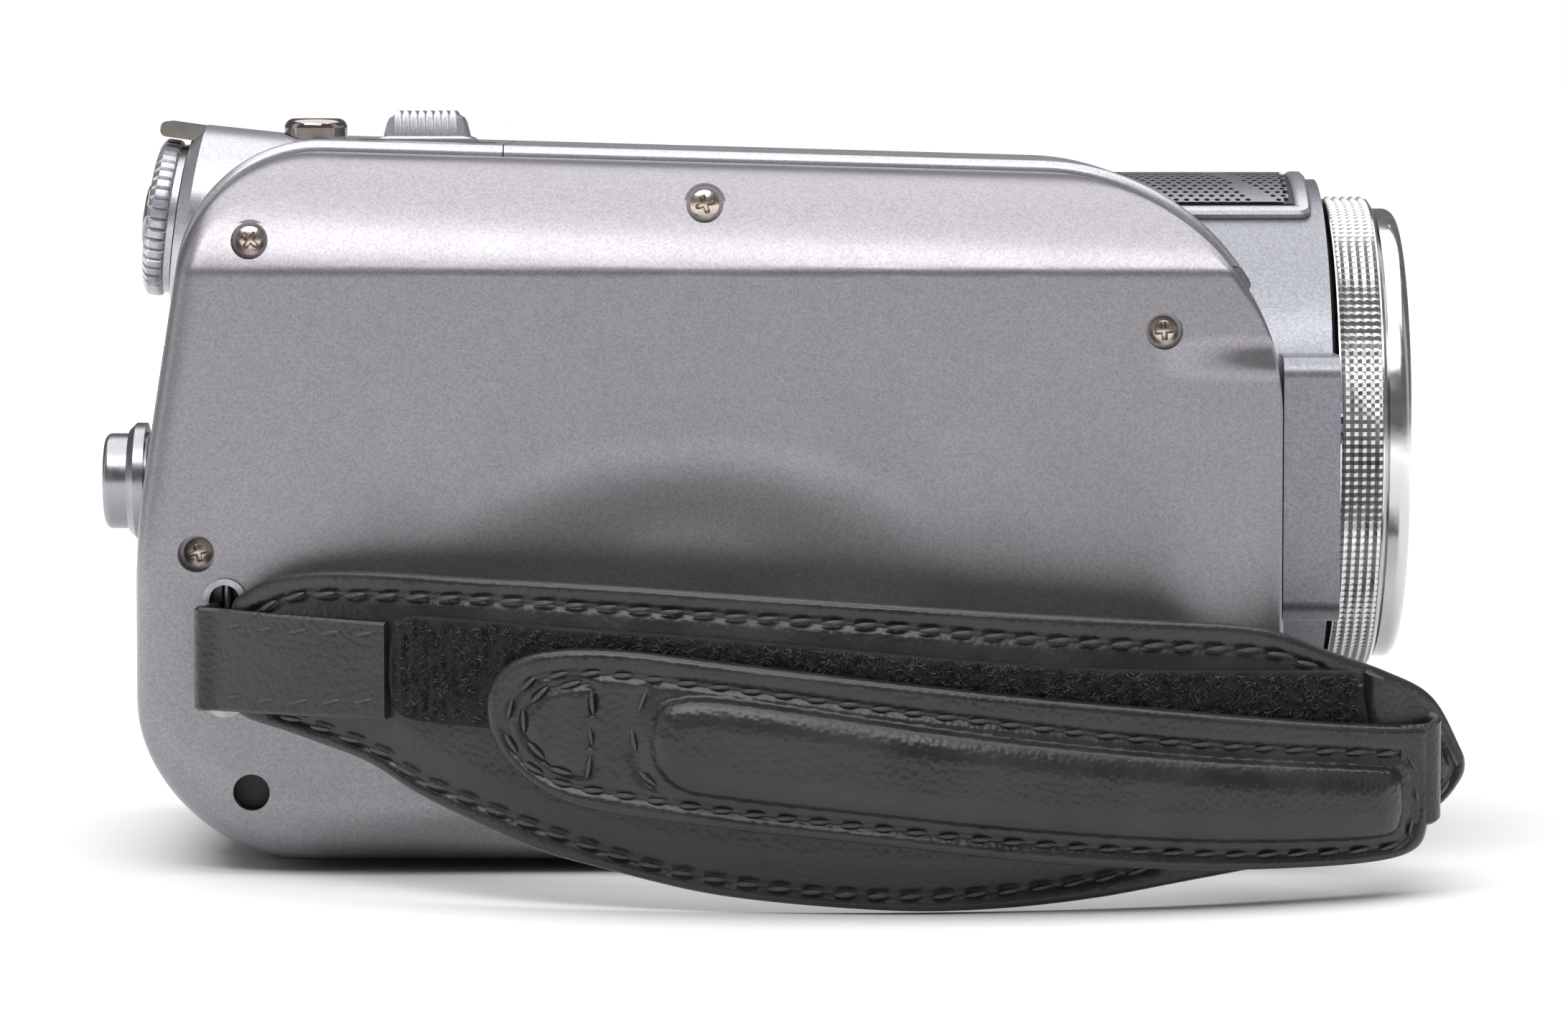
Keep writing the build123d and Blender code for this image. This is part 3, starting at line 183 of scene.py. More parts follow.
# %% Table and room
def white_table():
    """Matt white laminate, faintly mottled. Away from the camcorder the table glows in its own colour, a
    painted glow that rises from nothing at 0.10 m to full at 0.42 m, so that it meets the white room without
    a line."""
    material, tree, shader = new_material("white laminate", Roughness=0.6, Specular_IOR_Level=0.25)
    tint = ramp(tree, grain(tree, 60.0), 0.3, 0.7, "#f2f2f3", "#f7f7f7")
    tree.links.new(tint, shader.inputs["Base Color"])
    # Painted glow: the table emits its own tint, more the further it lies from the camcorder, and none near
    # it, where its shadow stays.
    away = add(tree, "ShaderNodeVectorMath", {}, {0: object_space(tree)}, operation="LENGTH")
    painted_glow = add(tree, "ShaderNodeMapRange", {"From Min": 0.10, "From Max": 0.42, "To Min": 0.0,
                                            "To Max": 1.0}, {"Value": away.outputs["Value"]},
               interpolation_type="SMOOTHSTEP")
    tree.links.new(tint, shader.inputs["Emission Color"])
    tree.links.new(painted_glow.outputs["Result"], shader.inputs["Emission Strength"])
    size = 6.0
    mesh = bpy.data.meshes.new("table")
    mesh.from_pydata([(-size, -size, 0), (size, -size, 0), (size, size, 0), (-size, size, 0)], [],
                     [(0, 1, 2, 3)])
    table = bpy.data.objects.new("table", mesh)
    mesh.materials.append(material)
    bpy.context.scene.collection.objects.link(table)


def dim_room(sight, light):
    """The room: white to look at, and dimmer as a source of light."""
    world = bpy.data.worlds.new("room")
    bpy.context.scene.world = world
    world.use_nodes = True
    tree = world.node_tree
    seen = add(tree, "ShaderNodeBackground", {"Color": (1, 1, 1, 1), "Strength": sight})
    room = tree.nodes["Background"]
    room.inputs["Color"].default_value = (0.96, 0.97, 1.0, 1)
    room.inputs["Strength"].default_value = light
    path = add(tree, "ShaderNodeLightPath")
    mix = add(tree, "ShaderNodeMixShader", {}, {0: path.outputs["Is Camera Ray"],
                                                1: room.outputs[0], 2: seen.outputs[0]})
    tree.links.new(mix.outputs[0], tree.nodes["World Output"].inputs["Surface"])


white_table()
dim_room(sight=1.0, light=0.19)
print("studio ready")

# %% [markdown]
# ## Finishes
# The casing is moulded plastic under a metallic lacquer: aluminium flakes in a tinted clear coat.
# The flakes lie at slightly different angles, so the surface glitters finely and its highlights are
# wide and soft. The base is part metallic, the roughness varies from flake to flake, and a thin
# smoother coat lies over it.

# %% Metallic lacquers
def metallic_lacquer(name, dark, light, roughness, metallic=0.85):
    """Flake lacquer on moulded ABS. Flakes are about 0.05 mm and drawn at 0.16 mm, so that they show."""
    material, tree, shader = new_material(name, Metallic=metallic, Coat_Weight=0.25, Coat_Roughness=0.22)
    flake = add(tree, "ShaderNodeTexVoronoi", {"Scale": per_mm(0.16)}, {"Vector": object_space(tree)})
    shade = add(tree, "ShaderNodeSeparateColor", links={"Color": flake.outputs["Color"]})
    tree.links.new(ramp(tree, shade.outputs["Red"], 0.0, 1.0, dark, light), shader.inputs["Base Color"])
    tree.links.new(span(tree, grain(tree, 9.0), roughness - 0.02, roughness + 0.03),
                   shader.inputs["Roughness"])
    bump(tree, shader, shade.outputs["Green"], 0.004, 0.35)
    return material


VIOLET = metallic_lacquer("violet-grey flake lacquer", "#817e82", "#949195", 0.34)
SILVER = metallic_lacquer("silver flake lacquer", "#9fa0a4", "#b2b3b7", 0.34)
GRAPHITE = metallic_lacquer("graphite flake lacquer", "#75767c", "#8b8c92", 0.38)


# %% [markdown]
# Plated parts are bright metal with almost no texture. What keeps them from looking drawn is a
# faint waviness from polishing and a little haze that changes across the piece.

# %% Plated and machined metals
def plated(name, colour, roughness, wave=0.003):
    """Polished plating on a moulded or turned part: a slow waviness and fine haze."""
    material, tree, shader = new_material(name, Metallic=1.0, Base_Color=linear(colour))
    tree.links.new(span(tree, grain(tree, 1.5, 4.0), roughness, roughness * 1.7 + 0.02),
                   shader.inputs["Roughness"])
    bump(tree, shader, grain(tree, 4.0), wave, 0.5)
    return material


def turned(name, colour, roughness):
    """Turned, pressed or cast metal: fine marks about 0.1 mm across."""
    material, tree, shader = new_material(name, Metallic=1.0)
    marks = add(tree, "ShaderNodeTexNoise", {"Scale": per_mm(0.1), "Detail": 3.0},
                {"Vector": object_space(tree)})
    tree.links.new(ramp(tree, marks.outputs["Fac"], 0.3, 0.7, colour, "#d6d4d0"),
                   shader.inputs["Base Color"])
    tree.links.new(span(tree, marks.outputs["Fac"], roughness, roughness + 0.12),
                   shader.inputs["Roughness"])
    bump(tree, shader, marks.outputs["Fac"], 0.004, 0.4)
    return material


CHROME = plated("polished chrome plating", "#bdbdc1", 0.08)
SATIN_CHROME = plated("satin chrome plating", "#98989c", 0.2)
DARK_CHROME = plated("smoked chrome plating", "#9a938e", 0.06)
RING_PLATING = plated("satin silver plating", "#c4c4c3", 0.14)
NICKEL = plated("nickel-plated steel", "#b9ada3", 0.18)
STEEL = turned("pressed steel", "#8f8f92", 0.3)
BRASS = turned("turned brass", "#b08d4f", 0.25)
CAST_ALUMINIUM = turned("cast aluminium", "#9c9ca0", 0.4)


# %% [markdown]
# Black plastic parts come out of spark-eroded moulds, which gives them a fine matt grain. Polished
# moulds give the display face and the dark window. Circuit boards are glass cloth under green resist.

# %% Plastics, rubber, glass and boards
def moulded(name, dark, light, roughness, grain_mm=0.25, depth=0.006):
    """Moulded plastic with the mould's spark-eroded grain."""
    material, tree, shader = new_material(name)
    texture = grain(tree, grain_mm, 3.0)
    tree.links.new(ramp(tree, texture, 0.3, 0.7, dark, light), shader.inputs["Base Color"])
    tree.links.new(span(tree, grain(tree, 5.0), roughness - 0.04, roughness + 0.06),
                   shader.inputs["Roughness"])
    bump(tree, shader, texture, depth, 0.6)
    return material


def optical_glass(name, colour, roughness):
    """Coated glass: clear, with the violet sheen that a lens coating gives at its edges."""
    material, tree, shader = new_material(name, Transmission_Weight=0.9, IOR=1.52, Coat_Weight=1.0,
                                          Coat_Roughness=0.01, Coat_IOR=1.9)
    shader.inputs["Coat Tint"].default_value = linear("#b9a2ff")
    tree.links.new(ramp(tree, grain(tree, 8.0), 0.3, 0.7, colour, "#2b2940"), shader.inputs["Base Color"])
    tree.links.new(span(tree, grain(tree, 3.0), roughness, roughness + 0.02), shader.inputs["Roughness"])
    return material


BLACK = moulded("spark-grained black ABS", "#141415", "#1c1c1e", 0.45)
SATIN_BLACK = moulded("satin black ABS", "#0d0d0e", "#131314", 0.28, 0.4, 0.002)
GLOSS_BLACK = moulded("polished black acrylic", "#050506", "#08080a", 0.09, 0.8, 0.0005)
WINDOW_RED = moulded("infrared-pass acrylic", "#1d0305", "#2a0508", 0.1, 0.8, 0.0005)
DAMPER = moulded("soft damper rubber", "#191919", "#232323", 0.75, 0.5, 0.01)
BOARD = moulded("green solder resist on glass cloth", "#0d4a25", "#136033", 0.35, 0.35, 0.012)
LENS_GLASS = optical_glass("coated optical glass", "#15141f", 0.01)
CLEAR = optical_glass("clear moulded acrylic", "#c8c8cf", 0.03)

FINISH_OF_SLOT = {
    "violet_grey_paint": VIOLET, "silver_paint": SILVER, "graphite_paint": GRAPHITE,
    "black_plastic": BLACK, "ring_silver": RING_PLATING, "chrome": CHROME,
    "dark_chrome": DARK_CHROME, "screw_nickel": NICKEL, "lens_glass": LENS_GLASS,
    "clear_plastic": CLEAR, "dark_window": WINDOW_RED, "screen_black": GLOSS_BLACK,
    "brass": BRASS, "steel": STEEL, "aluminium": CAST_ALUMINIUM, "board_green": BOARD,
    "sensor": GLOSS_BLACK, "damper_rubber": DAMPER, "speaker_black": SATIN_BLACK,
    "strap_leather": BLACK, "loop_fabric": BLACK,
}
PARTS_WITH_OWN_FINISH = {"record_button": SATIN_CHROME, "record_bezel": SATIN_CHROME,
                         "strap_bezels": SATIN_CHROME}
slot_of_node = {row["node"]: row["material_slot"] for row in frame["record"]["subparts"]}
for name, node in nodes.items():
    node.data.materials.clear()
    node.data.materials.append(PARTS_WITH_OWN_FINISH.get(name, FINISH_OF_SLOT[slot_of_node[name]]))
print("finished", len(nodes), "nodes with", len(set(FINISH_OF_SLOT.values())), "materials")

# %% [markdown]
# ## How a surface becomes a piece
# A new piece is a grid of points: one number runs along the rows and one along the columns. The grid
# may close on itself either way. `make_mesh` turns it into a piece and checks by its volume that it
# faces outwards, and `stand_for` puts it on the body of the node that it replaces.

# %% Grid helpers
def grid_faces(rows, cols, wrap_rows=False, wrap_cols=False):
    """Quads between neighbouring points of a rows x cols grid."""
    r = np.arange(rows if wrap_rows else rows - 1)
    c = np.arange(cols if wrap_cols else cols - 1)
    r, c = np.meshgrid(r, c, indexing="ij")
    r1, c1 = (r + 1) % rows, (c + 1) % cols
    return np.stack([r * cols + c, r1 * cols + c, r1 * cols + c1, r * cols + c1], -1).reshape(-1, 4)


def join_parts(parts):
    """Several (points, faces) as one, with each face list shifted past the points before it."""
    points, faces, count = [], [], 0
    for p, f in parts:
        points.append(p.reshape(-1, 3))
        faces += [[i + count for i in face] for face in f]
        count += len(points[-1])
    return np.concatenate(points), faces


def signed_volume(points, faces):
    """Sum over the faces of corner . (corner x corner) / 6: negative where they point inwards."""
    f = np.array([face[:3] for face in faces])
    g = np.array([(face[0], face[2], face[3]) for face in faces if len(face) == 4]).reshape(-1, 3)
    t = points[np.concatenate([f, g])]
    return float(np.einsum("ij,ij->i", t[:, 0], np.cross(t[:, 1], t[:, 2])).sum() / 6)


def length_along(path):
    """Distance from the first point of a path to each of its points."""
    return np.concatenate([[0], np.cumsum(np.linalg.norm(np.diff(path, axis=0), axis=1))])


def points_at(path, along, at):
    """Points of the path at the given distances along it."""
    return np.stack([np.interp(at, along, path[:, k]) for k in range(path.shape[1])], -1)


def many_faces(one, caps, points_each, count):
    """The faces of one small piece, and its two caps, repeated for count pieces in a row."""
    faces = (one[None] + points_each * np.arange(count)[:, None, None]).reshape(-1, 4).tolist()
    return faces + [[i + points_each * k for i in cap] for k in range(count) for cap in caps]


def paired_loop(loop, count):
    """The loop resampled as 2 x count points: its leftmost point first, its rightmost one half way, so
    that point k and point -k face each other across the middle. Returns it and each pair's mean x."""
    loop = np.roll(loop, -int(np.argmin(loop[:, 0])), axis=0)
    right = int(np.argmax(loop[:, 0]))
    halves = [loop[:right + 1], np.concatenate([loop[right:], loop[:1]])]
    resampled = []
    for half in halves:
        along = length_along(half)
        resampled.append(points_at(half, along, np.linspace(0, along[-1], count + 1)[:-1]))
    loop = np.concatenate(resampled)
    partner = (-np.arange(2 * count)) % (2 * count)
    return loop, (loop[:, 0] + loop[partner, 0]) / 2


def merge_doubles(mesh, apart=2e-6):
    """Joins corners that lie within 2 micrometres, as at the poles of a surface."""
    work = bmesh.new()
    work.from_mesh(mesh)
    bmesh.ops.remove_doubles(work, verts=work.verts, dist=apart)
    work.to_mesh(mesh)
    work.free()


def make_mesh(name, points_mm, faces, material, smooth_angle=35.0):
    """A piece from points in mm, faced outwards, smooth except at edges sharper than smooth_angle."""
    points = np.asarray(points_mm, float).reshape(-1, 3) * MM
    faces = [list(f) for f in faces]
    if signed_volume(points, faces) < 0:
        faces = [f[::-1] for f in faces]
    mesh = bpy.data.meshes.new(name)
    mesh.from_pydata(points.tolist(), [], faces)
    mesh.validate()
    merge_doubles(mesh)
    piece = bpy.data.objects.new(name, mesh)
    mesh.materials.append(material)
    bpy.context.scene.collection.objects.link(piece)
    mesh.shade_smooth()
    mesh.set_sharp_from_angle(angle=math.radians(smooth_angle))
    return piece


def stand_for(piece, name):
    """The piece rides on the node's body and hides the node."""
    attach(piece, body_of_node[name])
    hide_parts(name)
    print(piece.name, len(piece.data.polygons), "faces")
    return piece


def ride_on(piece, node):
    """The piece rides on the node's body and replaces nothing."""
    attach(piece, body_of_node[node])
    return piece


def box_mm(name):
    """Low and high corner of a CAD node, in mm."""
    low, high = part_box(name)
    return np.array(low) / MM, np.array(high) / MM


def smoothstep(t):
    """0 below 0, 1 above 1, and t^2 (3 - 2t) between."""
    t = np.clip(t, 0, 1)
    return t * t * (3 - 2 * t)


# %% [markdown]
# ## The side cover
# This one shell makes most of the camcorder's character. Its outer face is flat, and a crease runs
# along it below a wide shoulder that rolls over to the top. The rear edge is turned over in 2.5 mm, and
# the underside in 6 mm. At the front the face sinks 2 mm to meet the cheek beside the lens. A CAD
# fillet has one radius, so the cover is worked out here as a depth over its outline instead.

# %% Outline of the casing
COVER_LOW, COVER_HIGH = box_mm("side_cover")
REAR_X, FRONT_X = COVER_LOW[0], COVER_HIGH[0]
BASE_Z = COVER_LOW[2]
TOP_Z = BASE_Z + 67.8
TOP_FALL = 2.9
FACE_Y, SEAM_Y = COVER_LOW[1], COVER_HIGH[1]
LENS_Z = box_mm("focus_ring")[0][2] + 23.5   # the ring's radius
COVER_WALL = 1.5
WELL_R = 1.75
LINER_BORE_R, LINER_R = 1.76, 2.0
SLOT_WIDTH, SLOT_LENGTH = 3.5, 12.6


def rounded_outline(corners, radii, count):
    """A polygon with arcs for corners, as count points evenly spaced along its length.
    Each arc's centre lies radius / sin(half the corner's angle) from the corner, on its bisector."""
    corners = np.array(corners, float)
    stretches = []
    for i, radius in enumerate(radii):
        corner = corners[i]
        before = corners[i - 1] - corner
        after = corners[(i + 1) % len(corners)] - corner
        before, after = before / np.linalg.norm(before), after / np.linalg.norm(after)
        half = math.acos(np.clip(before @ after, -1, 1)) / 2
        bisector = (before + after) / np.linalg.norm(before + after)
        centre = corner + bisector * radius / math.sin(half)
        first = corner + before * radius / math.tan(half) - centre
        last = corner + after * radius / math.tan(half) - centre
        turn = math.atan2(first[0] * last[1] - first[1] * last[0], first @ last)
        a = math.atan2(first[1], first[0]) + np.linspace(0, turn, 60)
        stretches.append(centre + radius * np.stack([np.cos(a), np.sin(a)], -1))
    loop = np.concatenate(stretches)
    loop = np.concatenate([loop, loop[:1]])
    along = length_along(loop)
    return points_at(loop, along, np.linspace(0, along[-1], count, endpoint=False))


def casing_outline(count):
    """Side view of the casing: an upright rear that leans in near the top, and a top that falls forwards."""
    corners = [(REAR_X, BASE_Z), (REAR_X, 32.0), (REAR_X + 5.8, TOP_Z), (FRONT_X, TOP_Z - TOP_FALL),
               (FRONT_X, BASE_Z)]
    return rounded_outline(corners, [16.0, 60.0, 13.0, 23.0, 18.0], count)


def outline_normals(loop):
    """Outward normal: the chord between a point's neighbours, turned a quarter turn."""
    chord = np.roll(loop, -1, axis=0) - np.roll(loop, 1, axis=0)
    normal = np.stack([-chord[:, 1], chord[:, 0]], -1)
    return normal / np.linalg.norm(normal, axis=1, keepdims=True)


outline = casing_outline(900)
print("outline", outline.min(0).round(1), outline.max(0).round(1))

# %% Depth of the side cover behind its flat face
CREASE_Z = 57.4
SHOULDER_DROP = 11.2
NOSE_DROP = 2.0
HOLLOW_DROP = 0.9


def arc_drop(u):
    """Depth of a quarter round, 0 to 1, at u from its start (0) to its edge (1)."""
    return 1 - np.sqrt(1 - np.clip(u, 0, 1) ** 2 * 0.9999)


def shoulder_depth(x, z):
    """The roll of the shoulder: a straight start, which leaves the crease, then a quarter round."""
    top = TOP_Z - TOP_FALL * (x - REAR_X - 5.8) / (FRONT_X - REAR_X - 5.8)
    u = np.clip((z - CREASE_Z) / (top - CREASE_Z), 0, 1)
    return SHOULDER_DROP * (0.32 * u + 0.68 * arc_drop(u))


def edge_depth(inset, normal):
    """The turned-over edge, a quarter ellipse 0.9 as deep as it is wide. Its width is 2.5 mm at the
    rear, 6.2 below, 0.6 on top and 0.25 beside the lens."""
    nx, nz = normal[..., 0], normal[..., 1]
    below, above, rear = smoothstep((-nz - 0.1) / 0.7), smoothstep((nz - 0.3) / 0.5), smoothstep(-nx * 1.6)
    front = smoothstep((nx - 0.8) / 0.15)
    width = 1.0 + 1.5 * rear * (1 - below) + 5.2 * below - 0.4 * above - 0.75 * front
    return (width * 0.9) * arc_drop(1 - inset / width)


def nose_depth(x, z):
    """The face sinks by 2 mm where it runs into the cheek beside the lens, and stays so below it."""
    reach = smoothstep((x - FRONT_X + 13.0) / 12.0)
    return NOSE_DROP * reach * smoothstep((LENS_Z + 10.8 - z) / 3.8)


def dish_depth(x, z):
    """A shallow finger hollow, 0.9 mm deep, low in the middle of the face."""
    r = np.sqrt(((x + 9.0) / 27.0) ** 2 + ((z - 29.0) / 13.0) ** 2)
    return HOLLOW_DROP * smoothstep((1.0 - r) / 0.75)


def cover_y(x, z, inset, normal):
    """The face's y: all four depths added up, and never past the seam."""
    depth = shoulder_depth(x, z) + edge_depth(inset, normal) + nose_depth(x, z) + dish_depth(x, z)
    return FACE_Y + np.minimum(depth, SEAM_Y - FACE_Y - 0.1)


# %% Surface of the side cover
def side_cover_surface():
    """Rows shrink from the outline to a short line inside it. Point = outline + s (line - outline),
    with s dense near the edge, and y from the depth at that point. The last rows are the wall."""
    outline, middle_x = paired_loop(casing_outline(900), 340)
    normal = outline_normals(outline)
    if normal[0, 0] > 0:
        normal = -normal
    core = np.stack([np.clip(middle_x, -30, 16), np.full(len(outline), 33.0)], -1)
    s = np.concatenate([np.linspace(0, 1, 14) ** 1.6 * 0.06, np.linspace(0.075, 1.0, 76)])
    flat = outline[None] + s[:, None, None] * (core - outline)[None]
    inset = np.einsum("rak,ak->ra", outline[None] - flat, normal)
    y = cover_y(flat[..., 0], flat[..., 1], inset, np.broadcast_to(normal, flat.shape))
    face = np.stack([flat[..., 0], y, flat[..., 1]], -1)
    t = np.linspace(0, 1, 8)[:-1, None]
    wall = np.stack([np.broadcast_to(outline[:, 0], (7, len(outline))), SEAM_Y + t * (y[0] - SEAM_Y),
                     np.broadcast_to(outline[:, 1], (7, len(outline)))], -1)
    return np.concatenate([wall, face])


surface = side_cover_surface()
print("cover surface", surface.shape)


# %% Wells, slots and the shell itself
def cutter(name, loop, y0, y1):
    """A prism along Y with the outline loop in X and Z, for cutting."""
    count = len(loop)
    ends = [np.stack([loop[:, 0], np.full(count, y), loop[:, 1]], -1) for y in (y0, y1)]
    faces = grid_faces(2, count, wrap_cols=True).tolist()
    faces += [list(range(count)), list(range(2 * count - 1, count - 1, -1))]
    return make_mesh(name, np.concatenate(ends), faces, VIOLET)


def cut_away(piece, tools):
    """The piece less its cutting tools, which are removed afterwards."""
    for tool in tools:
        modifier = piece.modifiers.new("cut", "BOOLEAN")
        modifier.object = tool
        modifier.operation = "DIFFERENCE"
        modifier.solver = "EXACT"
    bake_modifiers(piece)
    for tool in tools:
        bpy.data.objects.remove(tool)


def bake_modifiers(piece, smooth_angle=35.0):
    """The mesh as its modifiers leave it, in place of the mesh and the modifiers."""
    depsgraph = bpy.context.evaluated_depsgraph_get()
    mesh = bpy.data.meshes.new_from_object(piece.evaluated_get(depsgraph))
    piece.modifiers.clear()
    piece.data = mesh
    mesh.shade_smooth()
    mesh.set_sharp_from_angle(angle=math.radians(smooth_angle))


def circle(x, z, radius, count=48):
    """Points of a circle in X and Z: (x + r cos a, z + r sin a)."""
    a = np.linspace(0, math.tau, count, endpoint=False)
    return np.stack([x + radius * np.cos(a), z + radius * np.sin(a)], -1)


def stadium(x, z, width, length, count=20):
    """An upright slot with round ends: half circles of half the width, pushed apart."""
    a = np.linspace(0, math.pi, count)
    rise = (length - width) / 2
    r = width / 2
    upper = np.stack([x + r * np.cos(a), z + rise + r * np.sin(a)], -1)
    lower = np.stack([x - r * np.cos(a), z - rise - r * np.sin(a)], -1)
    return np.concatenate([upper, lower])


def closed_shell(surface, thickness):
    """The surface and a copy moved inwards along its normals, joined round the open rim."""
    across = np.gradient(surface, axis=0)
    along = np.roll(surface, -1, axis=1) - np.roll(surface, 1, axis=1)
    normal = np.cross(across, along)
    normal /= np.maximum(np.linalg.norm(normal, axis=-1, keepdims=True), 1e-9)
    if normal[len(surface) // 2, 0] @ np.array([0, -1, 0]) < 0:
        normal = -normal
    few = np.unique(np.linspace(0, len(surface) - 1, 24).astype(int))
    inner = (surface - thickness * normal)[few]
    inner[:, :, 1] = np.minimum(inner[:, :, 1], SEAM_Y)
    rows = np.concatenate([surface[::-1], inner])
    return rows, grid_faces(len(rows), surface.shape[1], wrap_cols=True)


def side_cover():
    """The shell with its wells and strap slots cut through the face."""
    rows, faces = closed_shell(surface, COVER_WALL)
    cover = make_mesh("painted_side_cover", rows, faces, VIOLET)
    tools = []
    for i, (x, z) in enumerate(WELLS):
        tools.append(cutter(f"well_{i}", circle(x, z, WELL_R), FACE_Y - 5, SEAM_Y - 8))
    for i, (x, z) in enumerate(SLOTS):
        tools.append(cutter(f"slot_{i}", stadium(x, z, SLOT_WIDTH, SLOT_LENGTH), FACE_Y - 5, SEAM_Y - 3))
    cut_away(cover, tools)
    return stand_for(cover, "side_cover")


def solid_middles(name):
    """Middle of each separate solid of a node, found by walking its shared corners."""
    mesh = bmesh.new()
    mesh.from_mesh(nodes[name].data)
    bmesh.ops.remove_doubles(mesh, verts=mesh.verts, dist=1e-6)
    left, found = set(mesh.verts), []
    while left:
        stack, group = [left.pop()], []
        while stack:
            v = stack.pop()
            group.append(v.co.copy())
            near = {e.other_vert(v) for e in v.link_edges} & left
            left -= near
            stack += near
        found.append((np.min(group, 0) / MM, np.max(group, 0) / MM))
    mesh.free()
    return sorted(found, key=lambda pair: pair[0][0])


screws = solid_middles("side_cover_screws")
bezels = solid_middles("strap_bezels")
WELLS = [((a[0] + b[0]) / 2, (a[2] + b[2]) / 2) for a, b in screws] + [(REAR_X + 11.0, 8.0)]
SLOTS = [((a[0] + b[0]) / 2, (a[2] + b[2]) / 2) for a, b in bezels]
side_cover()

# %% [markdown]
# ## The knurled ring
# The ring is turned, then rolled with a tool that leaves rows of small pyramids 0.8 mm apart. At this
# size they glitter as the ring turns, so they are real geometry: the radius rises to a point in the
# middle of each cell of the grid, and falls to the groove at its edges.

# %% Focus ring
def knurled_ring(name, node, pitch, rows, depth):
    """Outer radius = root + depth x (1 - distance to the cell's middle), on a grid of half cells.
    The profile's other points make the lips, the bore and the end faces."""
    low, high = box_mm(node)
    axis_z, outer = (low[2] + high[2]) / 2, (high[2] - low[2]) / 2
    around = int(round(math.tau * outer / pitch))
    count = 2 * around
    middle_x = (low[0] + high[0]) / 2
    xs = middle_x + (np.arange(2 * rows + 1) - rows) * pitch / 2
    bore = outer - 3.0
    lip = 0.3
    head = [(low[0], outer - 0.7), (low[0] + lip, outer - 0.25), (xs[0], outer - 0.25)]
    tail = [(xs[-1], outer - 0.25), (high[0] - lip, outer - 0.25), (high[0], outer - 0.7), (high[0], bore),
            (low[0], bore)]
    x = np.array([p[0] for p in head] + xs.tolist() + [p[0] for p in tail])
    base = np.array([p[1] for p in head] + [outer - depth] * len(xs) + [p[1] for p in tail])
    cell = np.zeros(len(x))
    cell[len(head) + 1:len(head) + len(xs):2] = 1
    radius = base[None] + depth * np.outer(np.arange(count) % 2, cell)
    a = np.arange(count) / count * math.tau
    points = np.stack([np.broadcast_to(x, radius.shape), radius * np.sin(a)[:, None],
                       axis_z + radius * np.cos(a)[:, None]], -1)
    ring = make_mesh(name, points, grid_faces(count, len(x), True, True), RING_PLATING, 15.0)
    return stand_for(ring, node)


knurled_ring("knurled_focus_ring", "focus_ring", pitch=0.8, rows=5, depth=0.32)

# %% [markdown]
# ## Screws in their wells
# The screws are small pan heads with a cross recess, in wells with a flat floor. The lowest well has
# lost its screw. Each head is turned its own way, as screws are when they bottom.

# %% Screw heads and well liners
def round_about_y(x, z, profile, count=40):
    """A closed profile of (y, radius) carried round an axis along Y."""
    a = np.arange(count) / count * math.tau
    depth = np.broadcast_to(profile[:, 0], (count, len(profile)))
    points = np.stack([x + np.outer(np.cos(a), profile[:, 1]), depth,
                       z + np.outer(np.sin(a), profile[:, 1])], -1)
    return points, grid_faces(count, len(profile), True, True)


def well_liners():
    """A cup in each well: wall 0.25 mm, floor 0.4 mm. The empty well's cup is black, painted shade for the
    dark inside the empty hole, and its floor is only 2.6 mm behind the face, where it hides what lies behind
    it."""
    parts = []
    for (x, z), floor in zip(WELLS, WELL_FLOORS):
        mouth = float(cover_y(np.array(x), np.array(z), np.array(9.0), np.array([0.0, 0.0]))) + 0.9
        parts.append(round_about_y(x, z, np.array([(mouth, LINER_BORE_R), (floor, LINER_BORE_R), (floor, 0.0),
                                                   (floor + 0.4, 0.0), (floor + 0.4, LINER_R),
                                                   (mouth, LINER_R)])))
    # The empty well's black cup is painted shade: it stands for the dark inside the empty hole.
    for name, cups, finish, slot in (("well_liners", parts[:-1], VIOLET, "violet_grey_paint"),
                                     ("empty_well_shade_cup", parts[-1:], BLACK, "black_plastic")):
        piece = make_mesh(name, *join_parts(cups), finish, 30.0)
        ride_on(piece, "side_cover")


def screw_heads():
    """Height over the rim: 0.42 (1 - (r/R)^2), less 0.75 inside two crossed bars 0.4 mm wide that
    reach 0.8 mm from the middle, with R = 1.4. The bars' edges are softened over 0.12 mm."""
    r = np.concatenate([np.linspace(0.0, 1.0, 15), np.linspace(1.06, 1.36, 5)])
    a = np.arange(64) / 64 * math.tau
    parts = []
    for (low, high), turn in zip(screws, (0.25, 0.9, 0.35, 0.1)):
        x, z, front = (low[0] + high[0]) / 2, (low[2] + high[2]) / 2, low[1]
        dx, dz = np.outer(r, np.cos(a)), np.outer(r, np.sin(a))
        p = dx * math.cos(turn) + dz * math.sin(turn)
        q = -dx * math.sin(turn) + dz * math.cos(turn)
        bar = lambda u, v: smoothstep((0.26 - abs(u)) / 0.12) * smoothstep((0.9 - abs(v)) / 0.2)
        cross = np.maximum(bar(p, q), bar(q, p))
        rise = 0.42 * (1 - (r[:, None] / 1.4) ** 2) - 0.75 * cross
        top = np.stack([x + dx, front + 0.42 - rise, z + dz], -1)
        skirt = top[-1:] * 1.0
        skirt[..., 1] = front + 1.0
        middle = np.broadcast_to(np.array([x, front + 1.0, z]), skirt.shape)
        parts.append((np.concatenate([top, skirt, middle]), grid_faces(22, 64, wrap_cols=True)))
    stand_for(make_mesh("cross_recess_screws", *join_parts(parts), NICKEL, 40.0), "side_cover_screws")


WELL_FLOORS = [low[1] + 1.0 for low, high in screws] + [FACE_Y + 2.6]
well_liners()
screw_heads()

# %% [markdown]
# ## The mode dial
# The dial's rim has flats about a millimetre wide with narrow grooves between them, as a moulding
# tool makes them. A profile of depth and radius is carried round the dial's own axis, which leans back
# by 8 degrees, and the radius drops in each groove.

